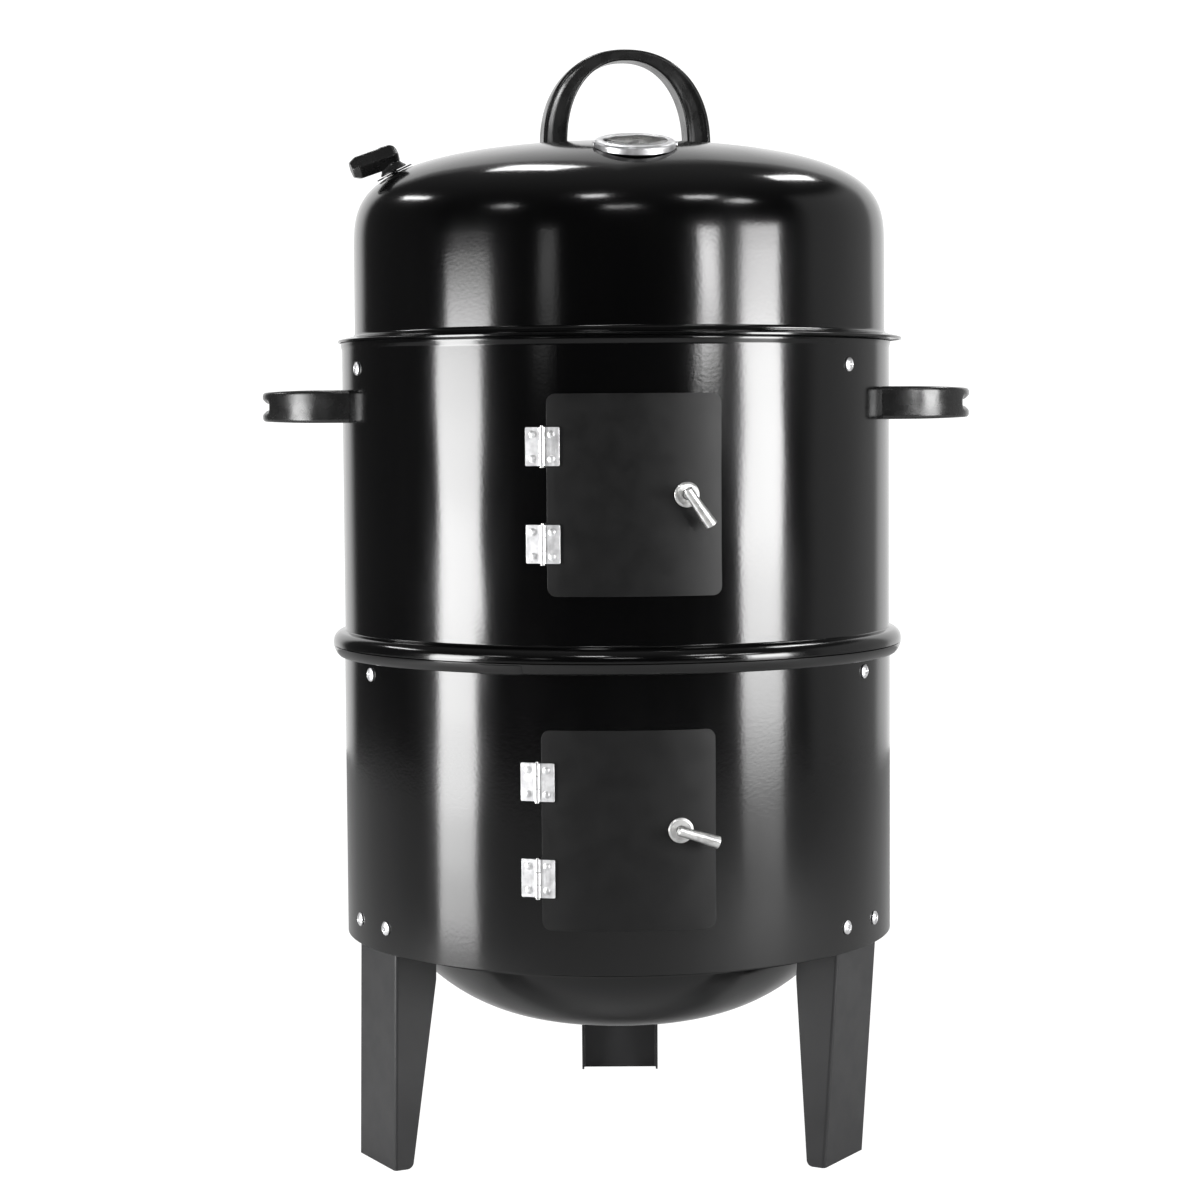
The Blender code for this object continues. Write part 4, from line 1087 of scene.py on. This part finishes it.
# ---- gauge and damper ----
def make_gauge():
    """The thermometer: its case and gasket follow the dome, and its needle turns over the dial."""
    place = dome_frame(GAUGE_AZIMUTH, GAUGE_FROM_AXIS)
    case = [
        (GAUGE_R, 0.0001, 0.0003), (GAUGE_R + 0.0003, 0.0036, 0.0026),
        (GAUGE_R - 0.003, 0.0047, 0.003), (GLASS_R + 0.0002, 0.0043, 0.0006),
        (GLASS_R + 0.0002, 0.0009), (0.0036, 0.0009), (0.0036, 0.0001), (GAUGE_R - 0.0013, 0.0001),
    ]
    bm = lathe(fillet(case, closed=True), 128)
    hug_dome(bm, place, GAUGE_R - 0.001, 0.0012, 0.0014)
    stand_in("gauge_case", bm, "lid", "chrome", place)
    ends = (GAUGE_R - 0.0015, 0.0215)
    gasket = lathe([(ends[0], -0.0001), (ends[0], -0.0004), (ends[1], -0.0004), (ends[1], -0.0001)], 128)
    hug_dome(gasket, place, 0.0, -0.0002)
    piece("gauge_gasket", gasket, "lid", "moulded", place)
    lug = mm((26, -2.6), (28.4, -2.6, 1), (28.4, 2.6, 1), (26, 2.6))
    for side, turn in (("left", 180), ("right", 0)):
        clip = bmesh.new()
        add_prism(clip, fillet(lug, closed=True), 0.0004, 0.003, turned(turn))
        ease_edges(piece("gauge_clip_" + side, clip, "lid", "chrome", place), 0.0004, 3)
    dome = [(0.0, 0.0047), (0.018, 0.0046, 0.03), (GLASS_R, 0.0043, 0.0003), (GLASS_R, 0.0036, 0.0002)]
    glass = lathe(fillet(dome + mm((0, 3.6))), 96, closed=False)
    stand_in("gauge_glass", glass, "lid", "gauge_glass", place)
    disc = lathe([(GLASS_R, 0.0011), (GLASS_R, DIAL_TOP), (0.0055, DIAL_TOP), (0.0055, 0.0011)], 96)
    dial = piece("gauge_dial", disc, "lid", "chrome", place)
    dial.data.materials[0] = DIAL_WHITE
    make_dial_marks(place)
    hub = mm((0, 2.8), (2.2, 2.7, 0.4), (2.2, 2.1), (0, 2.1))
    needle = lathe(fillet(hub), 32, closed=False)
    edge = mm((-3.6, 0.7), (0, 0.9), (16, 0.2))
    tip = [(x, -y) for x, y in edge] + mm((16.4, 0)) + edge[::-1]
    add_prism(needle, tip, 0.0021, 0.0024, turned(SCALE_START))
    stand_in("gauge_needle", needle, "gauge_needle", "needle_black", place)


def make_dial_marks(place):
    """A scale over three quarters of a turn, with ticks and plain numbers."""
    ticks = (NUMBERS - 1) * TICKS_EACH
    marks = bmesh.new()
    for step in range(ticks + 1):
        numbered = step % TICKS_EACH == 0
        start = 0.0164 if numbered else 0.0179
        size = (TICK_END_R - start, 0.0005 if numbered else 0.0003, 0.0001)
        middle = shifted(x=(TICK_END_R + start) / 2, z=DIAL_TOP + 0.00005)
        add_block(marks, size, turned(SCALE_START - SCALE_TURN * step / ticks) @ middle)
    piece("gauge_scale", marks, "lid", "needle_black", place)
    for step in range(NUMBERS):
        angle = radians(SCALE_START - SCALE_TURN * step / (NUMBERS - 1))
        text = bpy.data.curves.new("number", "FONT")
        text.body = str(50 * step)
        text.size = 0.0044
        text.align_x = "CENTER"
        text.align_y = "CENTER"
        text.extrude = 0.00004
        drawn = new_object("number", text)
        graph = bpy.context.evaluated_depsgraph_get()
        mesh = bpy.data.meshes.new_from_object(drawn.evaluated_get(graph))
        bpy.data.objects.remove(drawn)
        spot = shifted(NUMBER_R * cos(angle), NUMBER_R * sin(angle), DIAL_TOP + 0.00006)
        piece("gauge_number_%d" % step, mesh, "lid", "needle_black", place @ spot)


def make_damper():
    """The vent's plate over the lid's holes, with the knob that turns it."""
    place = dome_frame(DAMPER_AZIMUTH, DAMPER_FROM_AXIS, lift=0.0004)
    dish = 0.0003
    disc = [(0.0026, 0.0), (DAMPER_R, -dish), (DAMPER_R, 0.001 - dish, 0.0004), (0.0026, 0.001, 0.0002)]
    flat = lathe(fillet(disc, closed=True), 96)
    plate = stand_in("damper_plate", flat, "damper", "enamel", place)
    drill_vents(plate, place, 0.5)
    post = mm(
        (0, 10), (6.6, 10, 1), (6.8, 6.4, 4), (8.2, 4, 3), (9.8, 2.2, 0.6), (9.6, 1.3), (0, 1.3),
    )
    knob = lathe(fillet(post), SMALL_ROUND, closed=False)
    stem = mm(
        (0, 2), (2.2, 2), (2.2, -4), (4.8, -4, 0.4), (4.8, -7, 0.6), (0, -7),
    )
    add_lathe(knob, fillet(stem), 32, closed=False)
    piece("damper_knob_post", knob, "damper", "moulded", place)
    ends = ((-0.008, 0.0044), (-0.0066, 0.0072), (-0.0036, 0.0092), (0.003, 0.0095), (0.0046, 0.009))
    ends += ((0.022, 0.009), (0.0268, 0.0062))
    grip = loft([circle(radius, 6, along) for along, radius in ends])
    bar = place @ shifted(z=0.0118) @ turned(DAMPER_GRIP_TILT, "X")
    ease_edges(piece("damper_knob_grip", grip, "damper", "moulded", bar, ["damper_knob"]), 0.0008, 3, 20)


# ---- grates ----
def make_grate(name, z):
    """A welded wire grate: a ring, bars across it and two stringers under them."""
    ring_r = GRATE_R - GRATE_RING_R
    bm = bmesh.new()
    add_tube(bm, circle(ring_r, 160), GRATE_RING_R, 14, looped=True)
    count = int(ring_r / GRATE_PITCH)
    for step in range(-count, count + 1):
        x = step * GRATE_PITCH
        half = sqrt(ring_r**2 - x**2)
        add_tube(bm, [(x, -half, 0.0), (x, half, 0.0)], GRATE_WIRE_R)
    under = -1.4 * GRATE_WIRE_R
    for y in (-STRINGER_PLACE * ring_r, STRINGER_PLACE * ring_r):
        half = sqrt(ring_r**2 - y**2)
        add_tube(bm, [(-half, y, under), (half, y, under)], GRATE_WIRE_R)
    stand_in(name, bm, name, "zinc", shifted(z=z))


def dress_plain_nodes():
    """Gives the CAD nodes that still show the finish of their material slot."""
    slots = {part["node"]: part["material_slot"] for part in frame["record"]["subparts"]}
    for name, node in frame["nodes"].items():
        if not node.hide_render:
            finish(node, slots[name])


# ---- stage ----
def add_light(name, place, target, width, height, radiance, turn=0.0):
    """An area light of a radiance, in watts per square metre and steradian, turned about the upright."""
    light = bpy.data.lights.new(name, "AREA")
    light.shape = "RECTANGLE"
    light.size = width
    light.size_y = height
    light.energy = radiance * pi * width * height
    obj = new_object(name, light)
    obj.location = place
    obj.rotation_mode = "QUATERNION"
    aim = (Vector(target) - Vector(place)).to_track_quat("-Z", "Y")
    obj.rotation_quaternion = turned(turn).to_quaternion() @ aim
    obj.visible_camera = False


def mirrored(azimuth, reach):
    """The spot, that far from the upper wall, that the camera sees mirrored at an azimuth on it."""
    turn = radians(azimuth)
    outward = Vector((sin(turn), -cos(turn)))
    wall = outward * UPPER_R
    ray = (wall - Vector((0.0, CAMERA_Y))).normalized()
    return wall + ray.reflect(outward) * reach


def softbox(name, azimuth, reach, width, levels):
    """An upright light facing the axis: levels are its parts as (lower edge, radiance), then its top."""
    x, y = mirrored(azimuth, reach)
    for index, (low, radiance) in enumerate(levels[:-1]):
        high = levels[index + 1][0]
        z = (low + high) / 2
        add_light("%s_%d" % (name, index), (x, y, z), (0.0, 0.0, z), width, high - low, radiance)


def make_lights():
    for name, azimuth, reach, width, levels in SOFTBOXES:
        softbox(name, azimuth, reach, width, levels)
    for index, (x, y, width, depth, turn, radiance) in enumerate(CEILING_LAMPS):
        name = "ceiling_lamp_%d" % index
        add_light(name, (x, y, CEILING_Z), (x, y, 0.0), width, depth, radiance, turn)


def make_world():
    """White to the camera. To the object: a white sweep behind, grey side walls and a dim room in front."""
    world = bpy.data.worlds.new("studio")
    bpy.context.scene.world = world
    world.use_nodes = True
    world.node_tree.nodes.clear()
    made = Tree(world.node_tree)

    def ramp(value, start, end, low=0.0, high=1.0):
        return made.ranged(value, low, high, start, end, "SMOOTHSTEP")

    def plus(first, second):
        return made.math("ADD", first, second)

    def times(first, second):
        return made.math("MULTIPLY", first, second)

    aim = made.add("ShaderNodeTexCoord").outputs["Generated"]
    x, y, z = made.add("ShaderNodeSeparateXYZ", Vector=aim).outputs
    azimuth = made.math("DEGREES", made.math("ARCTAN2", x, times(y, -1.0)))
    height = made.math("DEGREES", made.math("ARCSINE", z))
    behind = plus(ramp(azimuth, 136.0, 146.0), ramp(azimuth, -151.0, -141.0, 1.0, 0.0))
    top_ahead = SWEEP_TOP - 180 * SWEEP_SLOPE
    top = made.math("MULTIPLY_ADD", made.math("ABSOLUTE", azimuth), SWEEP_SLOPE, top_ahead)
    over_top = made.math("SUBTRACT", height, top)
    below_walls = ramp(height, 24.0, 34.0, 1.0, 0.0)
    right = times(ramp(azimuth, 80.0, 92.0, 0.0, 0.4), below_walls)
    left = times(ramp(azimuth, -92.0, -80.0, 0.03, 0.0), below_walls)
    haze = times(behind, ramp(over_top, 0.0, 30.0, 0.4, 0.0))
    overhead = plus(haze, ramp(height, 15.0, 80.0, 0.03, 0.24))
    sides = plus(plus(right, left), overhead)
    white = times(behind, ramp(over_top, -2.0, 2.0, 1.0, 0.0))
    rest = times(sides, made.math("SUBTRACT", 1.0, white))
    level = plus(times(white, PAPER_WHITE), rest)
    seen = made.math("MAXIMUM", level, made.add("ShaderNodeLightPath").outputs["Is Camera Ray"])
    background = made.add("ShaderNodeBackground", Color=(1.0, 1.0, 1.0, 1.0), Strength=seen)
    made.add("ShaderNodeOutputWorld", Surface=background.outputs[0])


def make_floor():
    """A disc of grey paper that shows white to the camera."""
    bm = bmesh.new()
    bmesh.ops.create_circle(bm, cap_ends=True, segments=96, radius=FLOOR_R)
    floor = new_object("floor", mesh_of("floor", bm))
    made = Surface("floor_paper")
    made.put(Base_Color=(0.5, 0.5, 0.5, 1.0), Roughness=0.9)
    glowing = made.add("ShaderNodeEmission", Color=(1.0, 1.0, 1.0, 1.0), Strength=PAPER_WHITE)
    seen = made.add("ShaderNodeLightPath").outputs["Is Camera Ray"]
    mix = made.add("ShaderNodeMixShader")
    made.feed(mix.inputs[0], made.math("MULTIPLY", seen, 0.92))
    made.feed(mix.inputs[1], made.shader.outputs[0])
    made.feed(mix.inputs[2], glowing.outputs[0])
    output = next(node for node in made.tree.nodes if node.type == "OUTPUT_MATERIAL")
    made.feed(output.inputs[0], mix.outputs[0])
    floor.data.materials.append(made.material)


def make_camera():
    camera = bpy.data.cameras.new("camera")
    camera.lens = CAMERA_LENS
    camera.sensor_width = 36.0
    obj = new_object("camera", camera)
    aim = turned(CAMERA_PAN) @ turned(90 + CAMERA_TILT, "X") @ turned(CAMERA_ROLL)
    obj.matrix_world = shifted(0.0, CAMERA_Y, CAMERA_Z) @ aim
    bpy.context.scene.camera = obj


def main():
    make_lower_barrel()
    make_hoop()
    make_upper_barrel()
    make_lid()
    make_bowl()
    make_pan()
    for level, (azimuth, radius, z, lever_turn) in DOORS.items():
        make_door(level, azimuth, radius, z)
        make_hinges(level, azimuth, radius, z)
        make_latch(level, azimuth, radius, z, lever_turn)
    for side in LEG_AZIMUTHS:
        make_leg(side)
    make_bracket_bolts()
    make_handles()
    make_gauge()
    make_damper()
    for name, z in GRATES.items():
        make_grate(name, z)
    dress_plain_nodes()
    make_world()
    make_lights()
    make_floor()
    make_camera()
    bpy.context.scene.view_settings.view_transform = "Standard"


main()
